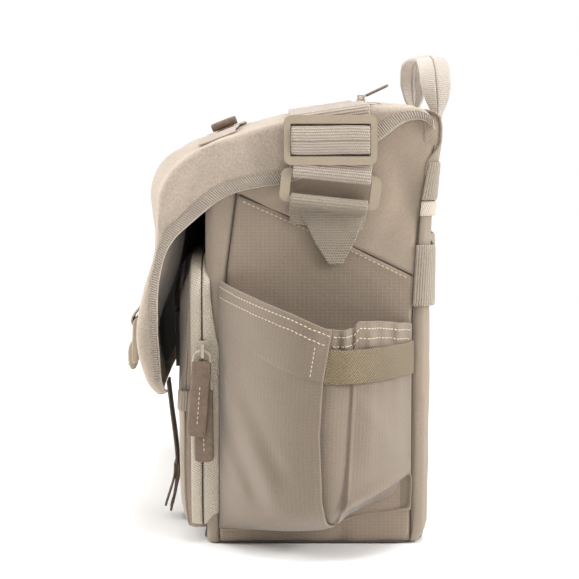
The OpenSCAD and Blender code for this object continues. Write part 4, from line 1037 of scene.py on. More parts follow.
# cloth that carries the back over into the flap
hl = spline([(98.9, 243), (99.6, 250), (100.6, 256), (101.5, 263), (102.0, 270), (101.9, 276.5), (100.2, 281.8), (96.0, 285.1), (90.5, 286.2)], 44)
xe_ = np.array([190.6, 190.5, 190.2, 189.8, 189.2, 188.4, 187.4, 186.2, 184.8, 183.2, 181.4])
xs = np.concatenate([-xe_, np.linspace(-179, 179, 80), xe_[::-1]])
def hdrop(x, z):
    # lower down it follows the rounded corner of the back
    dx = min(max(abs(x) - 182.6, 0.0), 7.97)
    return (8.0 - math.sqrt(64.0 - dx * dx)) * (1 - float(sstep(np.array(z), 250, 266)))
P = np.array([[(x, y - hdrop(x, z) + 1.6 * max(0.0, 1 - (x / 178) ** 2) ** 0.7 * float(sstep(np.array(282.0 - z), 0, 26)) - 0.5 * (abs(x) / 190.6) ** 60 * (1 if z < 280 else 0.3), z) for x in xs] for y, z in hl])
P += gnormals(P) * (0.15 * noise(P, 26, 3))[..., None]
Nn = gnormals(P); sgn = 1.0 if Nn[10, 40, 1] > 0 else -1.0
hc_ = thick("flap_hinge_cloth", P, 1.6, np.stack([np.broadcast_to(xs[None], P.shape[:2]), np.broadcast_to(arclen(hl)[:, None], P.shape[:2])], -1), M["cloth"], None, sign=sgn)
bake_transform(hc_)
for sx in (1, -1):
    # the rounded end of that cloth, closed against the yoke
    k_ = hl[2:]
    rr = np.linspace(0, 1, 9)
    ctr_ = np.array([90.0, 270.5])
    P = np.array([[(sx * (189.2 + 1.5 * math.sin(math.pi * min(r, 0.5)) * float(sstep(np.array(z), 258, 270))), (y - 0.9 - hdrop(190.0, z)) * (1 - r) + ctr_[0] * r, (z - 0.3) * (1 - r) + min(z, ctr_[1]) * r) for r in rr] for y, z in k_])
    Nn = gnormals(P); sgn = 1.0 if Nn[8, 4, 0] * sx > 0 else -1.0
    cap = thick(f"flap_hinge_end_{'right' if sx > 0 else 'left'}", P, 1.0, np.stack([P[..., 1], P[..., 2]], -1), M["twill"], None, sign=sgn)
    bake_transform(cap)

# ------------------------------------------------------------------ strap and its hardware
def bevel(node, w=0.6, seg=3, mat=None, sharp=35):
    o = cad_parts[node]
    md = o.modifiers.new("bevel", "BEVEL"); md.width = w * MM; md.segments = seg
    md.limit_method = "ANGLE"; md.angle_limit = math.radians(sharp); md.harden_normals = False
    o.data.polygons.foreach_set("use_smooth", [True] * len(o.data.polygons))
    try:
        e = o.modifiers.new("split", "EDGE_SPLIT"); e.split_angle = math.radians(50)
    except Exception:
        pass
    if mat is not None:
        o.data.materials.clear(); o.data.materials.append(mat)
    return o

for n in ("strap_ring_right", "strap_ring_left", "strap_slider"):
    bevel(n, 1.35, 4, M["hard"])
for n in ("front_zip_slider_upper", "front_zip_slider_lower"):
    bevel(n, 0.5, 3, M["slider"])
for n in ("top_zip_slider", "back_zip_slider"):
    bevel(n, 0.3, 2, M["slider"])
# latches: a curved hook plate on the pin, with a rounded thumb tab at its foot
def prism(prof, secs, x0):
    """Closed side profile (y, z) drawn out along x; secs are (x, inset) pairs."""
    pr = np.array(prof, float); k = len(pr)
    tn_ = np.roll(pr, -1, 0) - np.roll(pr, 1, 0); n_ = unit(np.stack([tn_[:, 1], -tn_[:, 0]], 1))
    if np.sum(n_ * (pr - pr.mean(0))) < 0: n_ = -n_
    V_ = np.array([np.stack([np.full(k, x0 + x), *(pr - n_ * i).T], 1) for x, i in secs])
    f_ = gfaces(len(secs), k, wv=True) + [tuple(range(k)), tuple(range((len(secs) - 1) * k, len(secs) * k))[::-1]]
    return V_.reshape(-1, 3), f_

def closed_spline(pts, n):
    q = np.array(pts, float); q3 = np.concatenate([q, q, q])
    c_ = spline(np.concatenate([q3, np.zeros((len(q3), 1))], 1)[:, :2], n * 3)
    a_ = arclen(np.stack([c_[:, 0], 0 * c_[:, 0], c_[:, 1]], 1))
    k0 = int(np.argmin(np.sum((c_[n // 2:n + n // 2] - q[0]) ** 2, 1))) + n // 2
    k1 = int(np.argmin(np.sum((c_[n + n // 2:2 * n + n // 2] - q[0]) ** 2, 1))) + n + n // 2
    loop = c_[k0:k1]
    return loop[::max(1, len(loop) // 64)]

plate_prof = [(-101.4, 141.2), (-103.6, 141.4), (-105.5, 139.0), (-105.9, 134), (-106.3, 127), (-106.5, 119), (-106.2, 111.5), (-104.6, 109.3), (-102.6, 110.5), (-101.9, 116), (-101.4, 124), (-100.8, 131), (-100.5, 137)]
tab_prof = [(-105.4, 125.2), (-108.0, 123.6), (-109.7, 119.0), (-109.9, 112.0), (-109.2, 107.2), (-107.4, 104.6), (-105.2, 104.8), (-103.9, 107.6), (-103.6, 113.0), (-103.9, 120.0)]
for s_, x0 in (("right", 105.0), ("left", -105.0)):
    vs_, fs_ = [], []
    def add(v_, f_):
        o_ = sum(len(q_) for q_ in vs_); vs_.append(v_); fs_.extend([tuple(k_ + o_ for k_ in f) for f in f_])
    add(*prism(closed_spline(plate_prof, 80), [(-15.5, 1.1), (-15.3, 0.5), (-14.8, 0.15), (-14.0, 0), (14.0, 0), (14.8, 0.15), (15.3, 0.5), (15.5, 1.1)], x0))
    add(*prism(closed_spline(tab_prof, 80), [(-8.5, 1.3), (-8.2, 0.6), (-7.4, 0.15), (-6.0, 0), (6.0, 0), (7.4, 0.15), (8.2, 0.6), (8.5, 1.3)], x0))
    for k_ in range(3):                      # grip ribs on the tab
        zc_ = 108.2 + 2.4 * k_
        rib = [(-109.3, zc_ - 0.6), (-110.0, zc_ - 0.3), (-110.0, zc_ + 0.3), (-109.3, zc_ + 0.6)]
        add(*prism(rib, [(-6.2, 0.2), (-6.0, 0), (6.0, 0), (6.2, 0.2)], x0))
    add(*prism([( -103 + 2.2 * math.cos(a_), 139 + 2.2 * math.sin(a_)) for a_ in np.linspace(0, 2 * math.pi, 20, endpoint=False)], [(-15.9, 0.7), (-15.7, 0.2), (-15.4, 0), (15.4, 0), (15.7, 0.2), (15.9, 0.7)], x0))
    la = make(f"latch_hook_{s_}", np.concatenate(vs_), fs_, None, M["hard"], f"latch_{s_[0]}")
    bm = bmesh.new(); bm.from_mesh(la.data); bmesh.ops.recalc_face_normals(bm, faces=bm.faces); bm.to_mesh(la.data); bm.free()
    es_ = la.modifiers.new("split", "EDGE_SPLIT"); es_.split_angle = math.radians(55)
    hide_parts(f"latch_{s_}")
for n in ("receiver_right", "receiver_left"):
    bevel(n, 0.7, 3, M["keeper"])
bevel("base_board", 0.5, 2, M["board"])

RT = math.radians(-6)
def ringp(X, dy, dz):
    """A point in the ring's own plane: dy along its width, dz up, in mm."""
    return np.array([X, 29 + dy * math.cos(RT) - dz * math.sin(RT), 235 + dy * math.sin(RT) + dz * math.cos(RT)])
def ring_ribbon(name, prof, width, t, mat, sx, ripple=0.0, seed=0, cols=15):
    """A band across the ring: prof is its (X, dz) line and width the width along the ring at each point."""
    prof = spline(prof, 60) if len(prof) > 3 else resample(np.array(prof, float), 60)
    wd = np.interp(np.linspace(0, 1, 60), np.linspace(0, 1, len(width)), width)
    path = np.array([ringp(x, 0, dz) for x, dz in prof]) * [sx, 1, 1]
    wdir = np.array([0, math.cos(RT), math.sin(RT)])
    ob = webbing(name, path, wdir, wd, t, mat, cols=cols, ripple=ripple, seed=seed)
    return ob, path

for sx in (1, -1):
    side = "right" if sx > 0 else "left"
    # anchor: webbing from the slanted seam, round the ring's lower bar and back
    hb = -9.0
    prof = [(192.3, -25), (192.6, -19), (194.2, -14), (198.5, -12.6), (202.0, -11.6), (202.6, -9), (201.2, -6.2), (199.0, -5.7), (196.6, -6.2), (195.6, -9), (194.6, -12), (193.2, -15)]
    a, _ = ring_ribbon(f"strap_anchor_loop_{side}", prof, [46, 47, 49, 49, 49, 49, 49, 49, 49, 49, 48, 47], 1.3, M["web"], sx)
    zz_ = np.linspace(226, 186, 30)
    yl = lerp(zz_, [184, 200, 228], [29.5, 19.5, 6.5]); yr = lerp(zz_, [184, 200, 223, 228], [35.5, 44.5, 52.5, 52])
    P = np.stack([np.stack([np.full(30, 0), yl + (yr - yl) * v, zz_], 1) for v in np.linspace(0, 1, 25)], 1)
    P[..., 0] = (192.6 + 0.3 * noise(P, 12, 3)) * sx
    fl_ = thick(f"strap_anchor_patch_{side}", P, 1.6, np.stack([np.broadcast_to(-zz_[:, None], P.shape[:2]), P[..., 1]], -1), M["web"], sign=(1 if sx < 0 else -1))
    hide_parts(f"strap_anchor_{side}")
    l1 = np.stack([np.full(30, 192.9 * sx), yr - 1.6, zz_], 1); l2 = np.stack([np.full(30, 192.9 * sx), yl + 1.6, zz_], 1)
    l3 = np.stack([np.full(20, 193.0 * sx), np.linspace(12, 50, 20), np.full(20, 217.0) - np.linspace(0, 4, 20)], 1)
    st = stitches(f"strap_anchor_stitch_{side}", [(l1, (sx, 0, 0)), (l2, (sx, 0, 0)), (l3, (sx, 0, 0))], M["thread"], pitch=3.0, length=2.2, r=0.32)
    # leg: webbing round the ring's upper bar, up behind the slider
    prof = [(196.2, 24), (196.4, 16), (196.6, 12), (196.0, 8.5), (196.2, 6.4), (199.0, 5.5), (202.0, 6.6), (202.8, 9.4), (202.2, 13), (200.4, 16.5), (199.2, 22)]
    leg, path = ring_ribbon(f"strap_leg_loop_{side}", prof, [49.5] * 11, 1.2, M["web_light"], sx)
    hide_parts(f"strap_leg_{side}")
    # plain part of the leg up to the flap's top
    zs = np.array([243, 248, 256, 264, 272, 279.5])
    W = unit(np.array([0, 51, 5.0]))
    lp = np.array([(198.0, 28.8, 246), (197.7, 28.6, 252), (197.5, 28.5, 262), (197.5, 28.5, 272), (197.6, 28.5, 279.8)]) * [sx, 1, 1]
    lp = resample(lp, 40)
    pl = webbing(f"strap_leg_plain_{side}", lp, W, [50.5] * 40, 2.0, M["web_light"], cols=15)

# webbing rolled round the slider's middle bar, only at the right-hand end
a = np.linspace(-0.15 * np.pi, 1.15 * np.pi, 60)
oval = []
for th in np.linspace(0, 2 * np.pi, 72, endpoint=False):
    c, s_ = math.cos(th), math.sin(th)
    oval.append((3.35 * np.sign(c) * abs(c) ** 0.72, 9.3 * np.sign(s_) * abs(s_) ** 0.8))
oval = np.array(oval)
xs = np.linspace(-25.2, 25.2, 44)
V = np.array([[(201.9 + o[0] * (1 + 0.02 * math.sin(x / 5)), 29 + x, 266.5 + o[1] * (1.0 - 0.03 * (x / 25.2) ** 8) + 0.25 * math.sin(x / 9)) for o in oval] for x in xs])
per = arclen(np.concatenate([oval, oval[:1]]))[:-1]
UV = np.stack([np.broadcast_to(per[None], V.shape[:2]), np.broadcast_to(xs[:, None], V.shape[:2])], -1)
faces = gfaces(len(xs), 72, wv=True) + [tuple(range(72)), tuple(range((len(xs) - 1) * 72, len(xs) * 72))[::-1]]
roll = make("strap_roll", V.reshape(-1, 3), faces, UV.reshape(-1, 2), M["web_light"])
bm = bmesh.new(); bm.from_mesh(roll.data); bmesh.ops.recalc_face_normals(bm, faces=bm.faces); bm.to_mesh(roll.data); bm.free()

# strap over the flap
wd = unit(np.array([0.0, 51.0, 7.6]))
def sz(x): return 283.9 + 1.9 + 0.7 * math.sin(x / 47.0) * (1 - (abs(x) / 195) ** 4)
xs = np.linspace(191.5, -191.5, 120)
path = np.array([(x, 28.5, sz(x)) for x in xs])
top = webbing("strap_top_band", path, wd, [51.0] * 120, 1.7, M["web_light"], "strap", cols=19)
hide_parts("strap_top")
second = webbing("strap_top_tail", np.array([(x, 26.5 + 0.6 * math.sin(x / 30), sz(x) - 1.35) for x in np.linspace(190, 96, 40)]), wd, [52.0] * 40, 1.0, M["web_light"], "strap", cols=11)
pts = [(s * 185, 0, 0) for s in (1, -1)]
for sx in (1, -1):
    side = "right" if sx > 0 else "left"
    c = [(197.7, 28.5, 278.4), (197.7, 28.5, 280.4), (197.6, 28.5, 282.4), (196.9, 28.5, 284.3), (195.4, 28.5, 285.5), (193.4, 28.5, 285.9), (191.2, 28.5, sz(191.5) + 0.02)]
    c = spline(np.array(c) * [sx, 1, 1], 120)
    end = webbing(f"strap_corner_{side}", c, wd, [51.0] * 120, 1.7, M["web_light"], None, cols=15)
    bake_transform(end)

# ------------------------------------------------------------------ carry handle, folded in two with a seam down its middle
hp = [(116, 277.5), (116.3, 284), (116.2, 292), (114.6, 301), (109, 310), (97, 316.5), (78, 320), (50, 321.5), (0, 322)]
hp = hp + [(-x, z) for x, z in hp[-2::-1]]
hc = spline(hp, 220)
s = arclen(hc); sN = s / s[-1]
tn = tangents(np.stack([hc[:, 0], 0 * sN, hc[:, 1]], 1))
nn = np.cross(tn, [0, 1.0, 0]); nn *= np.sign(np.sum(nn * np.stack([hc[:, 0], 0 * sN, hc[:, 1] - 280], 1), 1))[:, None]
dfoot = np.minimum(s, s[-1] - s)
hw_ = lerp(dfoot, [0, 5, 14, 26, 45, 80, 400], [2.6, 3.6, 7.4, 9.8, 10.0, 9.2, 8.8])
yc_ = lerp(dfoot, [0, 10, 30, 60, 120], [104.2, 104.2, 103.2, 102.6, 102.6])
fold = lerp(dfoot, [0, 8, 24, 60, 400], [2.6, 3.2, 3.0, 2.2, 1.6])
v = np.linspace(-1, 1, 25)
Pc = np.stack([hc[:, 0], yc_, hc[:, 1]], 1)
P = Pc[:, None] + np.array([0, 1.0, 0]) * (v[None, :, None] * hw_[:, None, None]) + nn[:, None] * ((2.2 + fold * 0 + 0.0)[:, None] - (np.abs(v)[None] ** 1.3) * fold[:, None] * 0.8 - 1.1 * np.exp(-(v[None] / 0.05) ** 2))[..., None]
UV = np.stack([np.broadcast_to(s[:, None], P.shape[:2]), v[None] * hw_[:, None]], -1)
Nh = gnormals(P); sgh = 1.0 if np.sum(Nh[110, 12] * nn[110]) > 0 else -1.0
hd = thick("carry_handle_webbing", P, 3.0, UV, M["web_handle"], "handle", sign=sgh, rim=4)
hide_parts("carry_handle")
l = Pc + nn * 1.55
sm_ = tube("carry_handle_seam", l, 0.35, M["thread_t"], "handle", up=(0, 1, 0), k=6)

# ------------------------------------------------------------------ leather pulls
def slab(name, c0, c1, nw, w, t, mat, body, n=40, round_=2.6, bend=0.0, top=1.2):
    """A leather tab from c0 to c1 with rounded corners; nw is the direction it faces."""
    c0, c1, nw = np.array(c0, float), np.array(c1, float), unit(np.array(nw, float))
    ax = unit(c1 - c0); L = np.linalg.norm(c1 - c0); W = unit(np.cross(nw, ax))
    d = np.concatenate([[0, 0.15, 0.4, 0.9, 1.6], np.linspace(2.6, L - 2.6, n), [L - 1.6, L - 0.9, L - 0.4, L - 0.15, L]])
    rr = np.where(d < L / 2, top, round_)
    e = np.minimum(d, L - d)
    hw = w / 2 - np.where(e < rr, rr - np.sqrt(np.clip(rr ** 2 - (rr - e) ** 2, 0, None)), 0)
    v = np.linspace(-1, 1, 11)
    P = c0 + ax * d[:, None, None] + W * (v[None, :, None] * hw[:, None, None]) + nw * (t / 2 + bend * np.sin(np.pi * d / L) - 0.0)[:, None, None]
    P = P - nw * (0.22 * np.abs(v) ** 8)[None, :, None]
    UV = np.stack([np.broadcast_to(d[:, None], P.shape[:2]), v[None] * hw[:, None]], -1)
    N = gnormals(P); sg_ = 1.0 if np.sum(N[20, 5] * nw) > 0 else -1.0
    ob = thick(name, P, t, UV, mat, body, sign=sg_)
    mid = P[6:-7, 5] + nw * 0.08
    return ob, mid, nw

def zip_pull(tag, z, reach, body, tilt, L0, L1, zoff):
    """Leather pull on a loop of cord that hangs from the slider."""
    x = reach; y = -53.8
    top = np.array([x, y, z])
    dr = np.array([0, -math.sin(tilt), -math.cos(tilt)])
    a0 = top + dr * L0; a1 = top + dr * L1
    ob, mid, nw = slab(f"pull_leather_{tag}", a0, a1, (1, 0, 0), 11.2, 2.4, M["leather2"], body, top=1.0)
    k = int(len(mid) * 0.32); k1 = int(len(mid) * 0.97)
    st = stitches(f"pull_stitch_{tag}", [(mid[k:k1], nw)], M["thread"], body, pitch=3.2, length=2.2, r=0.36)
    W = np.array([0, math.cos(tilt), -math.sin(tilt)])
    loop = [a0 + dr * 3 + W * 4.3 - [0.4, 0, 0], a0 - dr * 1.0 + W * 5.4, a0 - dr * 4.6 + W * 4.6, a0 - dr * 6.6 + W * 1.8, a0 - dr * 6.9,
            a0 - dr * 6.6 - W * 1.8, a0 - dr * 4.6 - W * 4.6, a0 - dr * 1.0 - W * 5.6, a0 + dr * 3 - W * 4.6 - [0.4, 0, 0]]
    lp = tube(f"pull_cord_{tag}", spline(loop, 60), 0.95, M["cord"], body, up=(1, 0, 0), k=8)
    return ob
pu = zip_pull("upper", 129.5, 200.4, "pull_upper", math.radians(4.5), 6.6, 56.0, 0)
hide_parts("front_zip_pull_upper")
pl_ = zip_pull("lower", 112.0, 196.2, "pull_lower", math.radians(-0.5), 8.0, 56.0, 0)
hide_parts("front_zip_pull_lower")

# pull of the top zip and of the back zip
def small_pull(tag, pivot, dr, nw, body):
    pivot, dr = np.array(pivot, float), unit(np.array(dr, float))
    ob, mid, nw2 = slab(f"pull_leather_{tag}", pivot + dr * 4.5, pivot + dr * 24, nw, 8.8, 2.0, M["leather2"], body, n=20, round_=2.0)
    W = unit(np.cross(np.array(nw, float), dr))
    loop = [pivot + dr * 6 + W * 3.0, pivot + dr * 2 + W * 3.2, pivot + W * 2.6 - dr * 0.4, pivot - dr * 0.6, pivot - W * 2.6 - dr * 0.4, pivot + dr * 2 - W * 3.2, pivot + dr * 6 - W * 3.0]
    lp = tube(f"pull_wire_{tag}", spline(loop, 40), 0.55, M["slider"], body, up=nw, k=8)
    return ob
t1 = small_pull("top", (-136.2, 62, 292.9), (0, math.cos(math.radians(25)), math.sin(math.radians(25))), (0, -math.sin(math.radians(25)), math.cos(math.radians(25))), "top_pull")
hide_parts("top_zip_pull")
t2 = small_pull("back", (-146.2, 101, 222), (0, 0, -1), (0, 1, 0), "back_pull")
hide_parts("back_zip_pull")

# ------------------------------------------------------------------ closures
TL = [(-82.3, 96.2), (-80, 76), (-77.5, 56), (-76.3, 42), (-76.4, 30), (-78, 17), (-80.5, 5.6)]
for sx in (1, -1):
    side = "right" if sx > 0 else "left"
    x = 105.0 * sx
    pth = spline(TL, 70)
    p3 = np.stack([np.full(70, x), pth[:, 0], pth[:, 1]], 1)
    ob = webbing(f"closure_tail_webbing_{side}", p3, (1, 0, 0), [24.0] * 70, 1.6, M["web_dark"], f"tail_{side[0]}", cols=11)
    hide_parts(f"closure_tail_{side}")
    q = p3[44:68]
    tq = tangents(q); nq = np.cross(tq, [1.0, 0, 0]); nq *= np.sign(nq[:, 1:2]) * -1
    for k, off in enumerate((1.35, -1.35)):
        qq = q + nq * off + np.array([0, -3.4, 0]) * (sstep(np.linspace(0, 1, len(q)), 0.1, 1) * (0.9 if k == 0 else 0.55))[:, None]
        lt = webbing(f"closure_tail_leather_{side}_{k}", qq, (1, 0, 0), lerp(np.linspace(0, 1, len(q)), [0, 0.06, 0.85, 1], [24.6, 25.4, 25.4, 19]), 1.5, M["leather"], f"tail_{side[0]}", cols=11)
    # flap's part of the closure: a webbing loop that carries the latch
    i0, i1 = int(np.argmin(np.abs(Pl[:, 1] - 182))), int(np.argmin(np.abs(Pl[:, 1] - 124)))
    if i0 > i1: i0, i1 = i1, i0
    seg = Pl[i0:i1] + Nl[i0:i1] * 1.3
    ob = webbing(f"closure_strap_webbing_{side}", np.stack([np.full(len(seg), x), seg[:, 0], seg[:, 1]], 1), (1, 0, 0), [24.6] * len(seg), 1.5, M["web"], "flap", cols=11)
    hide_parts(f"closure_strap_{side}")
    lpth = [(-98.2, 155), (-100.8, 149), (-104.6, 144.2), (-106.6, 140.6), (-106.2, 137), (-103.4, 135.3), (-100.6, 136.6), (-99.2, 141), (-98.8, 147)]
    lp = spline(lpth, 50)
    lo_ = webbing(f"closure_loop_{side}", np.stack([np.full(50, x), lp[:, 0], lp[:, 1]], 1), (1, 0, 0), [23.6] * 50, 1.3, M["web"], "flap", cols=11)
    l1 = np.array([(x - 10.5, *(Pl[i0 + 2] + Nl[i0 + 2] * 2.1)), (x + 10.5, *(Pl[i0 + 2] + Nl[i0 + 2] * 2.1))])
    st = stitches(f"closure_strap_stitch_{side}", [(l1, (0, -1, 0.1))], M["thread_t"], "flap", pitch=2.4, length=1.7, r=0.25)

# webbing strip across the flap, and the leather keeper on it
HT = G.shape[1]
def flap_at(x, i):
    """Point of the flap's outer face at x on station i."""
    r = G[i]; m = slice(20, HT - 20)
    xs_ = -r[m, 0]
    return np.array([x, np.interp(-x, xs_, r[m, 1]), np.interp(-x, xs_, r[m, 2])])
i0, i1 = int(np.argmin(np.abs(Pl[:, 0] + 31) + (np.arange(NS) > 150) * 99)), int(np.argmin(np.abs(Pl[:, 0] + 56) + (Pl[:, 1] < 240) * 99))
c0 = (Pl[i0] + Pl[i1]) / 2; wv_ = unit(np.array([0, *(Pl[i0] - Pl[i1])]))
nv_ = np.array([0, -wv_[2], wv_[1]]); nv_ *= np.sign(nv_[2])
# follows the bulge of the padded flap
win = math.exp(-((arclen(Pl)[(i0 + i1) // 2] - sP[int(NS * 0.56)]) / 34.0) ** 2)
xs = np.linspace(176, -176, 130)
lift = 2.6 + 6.5 * win * sstep(186 - np.abs(xs), 0, 46) + 1.2 + 0.3 * np.sin(xs / 31)
ic = (i0 + i1) // 2
path = np.array([(flap_at(x, i0) + flap_at(x, i1) + flap_at(x, ic)) / 3 for x in xs])
lift = (path - np.array([0, *c0])) @ nv_ + 1.1
path[:, 1:] = (np.array([0, *c0]) + nv_ * lift[:, None])[:, 1:]
strip = webbing("flap_strip_webbing", path, wv_, [25.0] * 130, 1.5, M["web_light"], "flap", cols=13)
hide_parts("flap_webbing_strip")
xr = 54.0
li = float(np.interp(-xr, -xs, lift)) + 0.3
b0 = np.array([xr, *c0]) + nv_ * (li + 1.1)
rl = 18.0
kx = []
turn = np.linspace(0, 2 * np.pi * 1.35, 60)
ax_ = wv_
for th in turn:
    r = 1.5 + 1.55 * th / turn[-1]
    kx.append((r * math.sin(th), 3.3 + r * math.cos(th) * -1))
kx = np.array(kx[::-1] + [])
kp = np.array([b0 + wv_ * 3 + np.array([1.0, 0, 0]) * a_ + nv_ * b_ for a_, b_ in kx])
kp = np.concatenate([kp])
rollk = webbing("leather_keeper_roll", kp, wv_, [18.0] * len(kp), 1.3, M["leather2"], "flap", cols=9)
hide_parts("leather_keeper")
basek, _, _ = slab("leather_keeper_base", b0 + wv_ * 3 - np.array([7.5, 0, 0]) - nv_ * 0.6, b0 + wv_ * 3 + np.array([7.5, 0, 0]) - nv_ * 0.6, nv_, 12, 1.4, M["leather2"], "flap", n=14)

# zip across the top of the flap
i0 = int(np.argmin(np.abs(Pl[:, 0] - 70))); i1 = int(np.argmin(np.abs(Pl[:, 0] - 57)))
c0 = (Pl[i0] + Pl[i1]) / 2
xs = np.linspace(156, -156, 90)
path = np.array([(x, c0[0], flap_at(x, (i0 + i1) // 2)[2] + 0.35 - 0.45 * float(sstep(np.array(x), 112, 134))) for x in xs])
# tape in the flap's lighter cloth: painted light
tp = webbing("top_zip_tape_cloth", path, (0, 1, 0), [13.0] * 90, 0.9, M["flap"], "flap", cols=9)
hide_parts("top_zip_tape")
# dark strip under the teeth: painted shade in the gap
gp = webbing("top_zip_gap", path + [0, 0, 0.22], (0, 1, 0), [1.5] * 90, 0.6, M["coildark"], "flap", cols=3)
th_ = stitches("top_zip_teeth", [(path + [0, 0.4, 0.5], (0, 0, 1)), (path + [0, -0.4, 0.5], (0, 0, 1))], M["coil"], "flap", pitch=1.5, length=0.95, r=0.3)

# ------------------------------------------------------------------ back
def across(name, z, w, y, t, mat, slotn, x=178, ripple=0.25, lift=None, n=150, wrapc=True):
    xs = np.linspace(x, -x, n)
    yy = np.full(n, y) if lift is None else y + lift(xs)
    path = np.stack([xs, yy, np.full(n, z)], 1)
    ob = webbing(name, path, (0, 0, 1), [w] * n, t, mat, "bag", cols=15, ripple=ripple, seed=5)
    return ob
def wrapped(name, z, w, off, t, mat, lift=None, n=260):
    """A band sewn to the back that goes round both corners to the seams."""
    rows = []
    for zz2 in np.linspace(z - w / 2, z + w / 2, 13):
        r = back_row(zz2, off + t, 140)
        p = resample(np.concatenate([r, np.full((len(r), 1), zz2)], 1), n)
        ax = np.abs(p[:, 0])
        cr = 1.6 * np.clip(1 - (p[:, 0] / 178) ** 2, 0, 1) ** 0.7 * sstep(p[:, 1], 92, 96)
        p[:, 1] += np.maximum(cr, lift(ax)) if lift else cr
        rows.append(p)
    P = np.array(rows)
    P[[0, -1]] -= unit(P[[0, -1]] * [0.02, 1, 0]) * 0.3
    UV = np.stack([np.broadcast_to(arclen(P[6])[None], P.shape[:2]), P[..., 2]], -1)
    N = gnormals(P); sg_ = 1.0 if N[6, n // 2, 1] > 0 else -1.0
    ob = thick(name, P, t, UV, mat, "bag", sign=sg_)
    return ob
ub = wrapped("back_band_upper_webbing", 239.5, 24, 0.7, 1.3, M["web"]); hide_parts("back_band_upper")
zb_ = wrapped("back_zip_tape_cloth", 221.6, 9, 0.35, 1.0, M["tape"]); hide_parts("back_zip_tape")
r = back_row(222, 2.65, 140); path = resample(np.concatenate([r, np.full((len(r), 1), 222.0)], 1), 320)
path = path[np.abs(path[:, 0]) < 172]; path[:, 1] += 1.6 * np.clip(1 - (path[:, 0] / 178) ** 2, 0, 1) ** 0.7 - 1.0
# dark strip under the teeth: painted shade in the gap
g2 = webbing("back_zip_gap", path, (0, 0, 1), [1.5] * len(path), 0.6, M["coildark"], cols=3)
g3 = stitches("back_zip_teeth", [(path + [0, 0.35, 0.4], (0, 1, 0)), (path + [0, 0.35, -0.4], (0, 1, 0))], M["coil"], pitch=1.5, length=0.95, r=0.3)
lb = wrapped("luggage_band_webbing", 178.0, 39.0, 0.7, 1.6, M["web"], lift=lambda ax: 7.2 * sstep(102 - ax, 0, 16), n=380)
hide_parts("luggage_band")
ls = []
for sx in (1, -1):
    ls.append((np.array([(101.5 * sx, 99.3, zz2) for zz2 in np.linspace(160.5, 195.5, 16)]), (0, 1, 0)))
    ls.append((np.array([(105.5 * sx, 99.3, zz2) for zz2 in np.linspace(160.5, 195.5, 16)]), (0, 1, 0)))
st = stitches("luggage_band_stitch", ls, M["thread_t"], pitch=2.8, length=2.0, r=0.3)
# small tab of webbing let into the seam of the front pocket
tab = webbing("front_pocket_tab", spline(np.array([(184.5, -70.6, 95.8), (188.2, -70.2, 95.7), (190.7, -68.6, 95.6), (191.7, -66.0, 95.4), (192.0, -63.0, 95.2), (192.0, -60.0, 95.0), (191.6, -57.5, 94.8)]), 30), (0, 0.05, 1), [12.5] * 30, 1.3, M["web"], cols=9)

# ------------------------------------------------------------------ bounds, floor, camera and light
bpy.context.view_layer.update()

me = bpy.data.meshes.new("floor")
me.from_pydata([(-6, -6, -0.0005), (6, -6, -0.0005), (6, 6, -0.0005), (-6, 6, -0.0005)], [], [(0, 1, 2, 3)])
floor = bpy.data.objects.new("floor", me)
bpy.context.scene.collection.objects.link(floor)
fm, fnt, fb = mat_new("floor_white", (0.93, 0.93, 0.93), 0.9, 0, 0.1)
# the floor fades into the white of the studio away from the object
tcf = fnt.nodes.new("ShaderNodeTexCoord"); ln_ = fnt.nodes.new("ShaderNodeVectorMath"); ln_.operation = "LENGTH"
fnt.links.new(tcf.outputs["Object"], ln_.inputs[0])
mf = fnt.nodes.new("ShaderNodeMapRange"); mf.interpolation_type = "SMOOTHSTEP"; mf.inputs[1].default_value = 0.45; mf.inputs[2].default_value = 1.1
fnt.links.new(ln_.outputs["Value"], mf.inputs[0])
em = fnt.nodes.new("ShaderNodeEmission"); em.inputs[1].default_value = 1.0
mx = fnt.nodes.new("ShaderNodeMixShader")
fnt.links.new(mf.outputs[0], mx.inputs[0]); fnt.links.new(fb.outputs[0], mx.inputs[1]); fnt.links.new(em.outputs[0], mx.inputs[2])
fnt.links.new(mx.outputs[0], fnt.nodes["Material Output"].inputs[0])
me.materials.append(fm)

w = bpy.data.worlds.new("studio"); bpy.context.scene.world = w; w.use_nodes = True
bg = w.node_tree.nodes["Background"]; bg.inputs[0].default_value = (1, 1, 1, 1); bg.inputs[1].default_value = 1.0
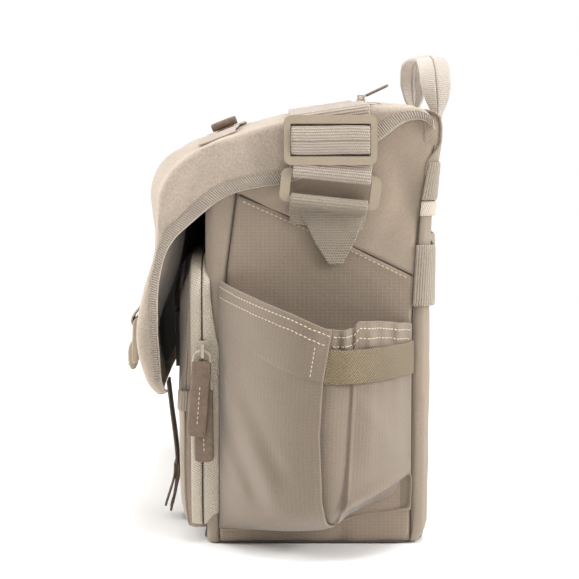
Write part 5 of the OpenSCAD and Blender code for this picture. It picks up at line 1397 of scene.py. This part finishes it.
# the studio is darker on the side the camera stands on
wt = w.node_tree; tcw = wt.nodes.new("ShaderNodeTexCoord"); sp = wt.nodes.new("ShaderNodeSeparateXYZ")
wt.links.new(tcw.outputs["Generated"], sp.inputs[0])
mr = wt.nodes.new("ShaderNodeMapRange"); mr.interpolation_type = "SMOOTHSTEP"
wt.links.new(sp.outputs[0], mr.inputs[0])
mr.inputs[1].default_value = 0.0; mr.inputs[2].default_value = 0.9; mr.inputs[3].default_value = 1.0; mr.inputs[4].default_value = 0.35
# the backdrop itself stays white from every side
lp = wt.nodes.new("ShaderNodeLightPath"); mxw = wt.nodes.new("ShaderNodeMath"); mxw.operation = "MAXIMUM"
wt.links.new(mr.outputs[0], mxw.inputs[0]); wt.links.new(lp.outputs["Is Camera Ray"], mxw.inputs[1])
wt.links.new(mxw.outputs[0], bg.inputs[1])

def area(name, loc, aim, size, power, color=(1, 1, 1), sy=None):
    l = bpy.data.lights.new(name, "AREA"); l.energy = power; l.color = color
    l.shape = "RECTANGLE"; l.size = size; l.size_y = sy or size
    o = bpy.data.objects.new(name, l); bpy.context.scene.collection.objects.link(o)
    o.location = loc
    o.rotation_euler = (Vector(aim) - Vector(loc)).to_track_quat("-Z", "Y").to_euler()
    return o
area("left", (-0.2, -1.8, 0.9), (0, 0, 0.15), 1.0, 30)
area("right", (0.8, 1.7, 0.9), (0, 0, 0.12), 0.9, 26)
area("top", (0.5, 0.2, 2.0), (0, 0, 0.15), 0.9, 22)

cam_d = bpy.data.cameras.new("camera"); cam = bpy.data.objects.new("camera", cam_d)
bpy.context.scene.collection.objects.link(cam); bpy.context.scene.camera = cam
cam_d.sensor_width = 36; cam_d.lens = 114.9; cam_d.clip_start = 0.05; cam_d.clip_end = 30
cam.location = (1.39, 0.0, 0.295)
pit, yaw = math.radians(6.0), math.radians(0.127)
aim = Vector((-math.cos(pit) * math.cos(yaw), math.cos(pit) * math.sin(yaw), -math.sin(pit)))
cam.rotation_euler = aim.to_track_quat("-Z", "Y").to_euler()
bpy.context.scene.view_settings.view_transform = "Standard"
bpy.context.scene.view_settings.exposure = 0.0
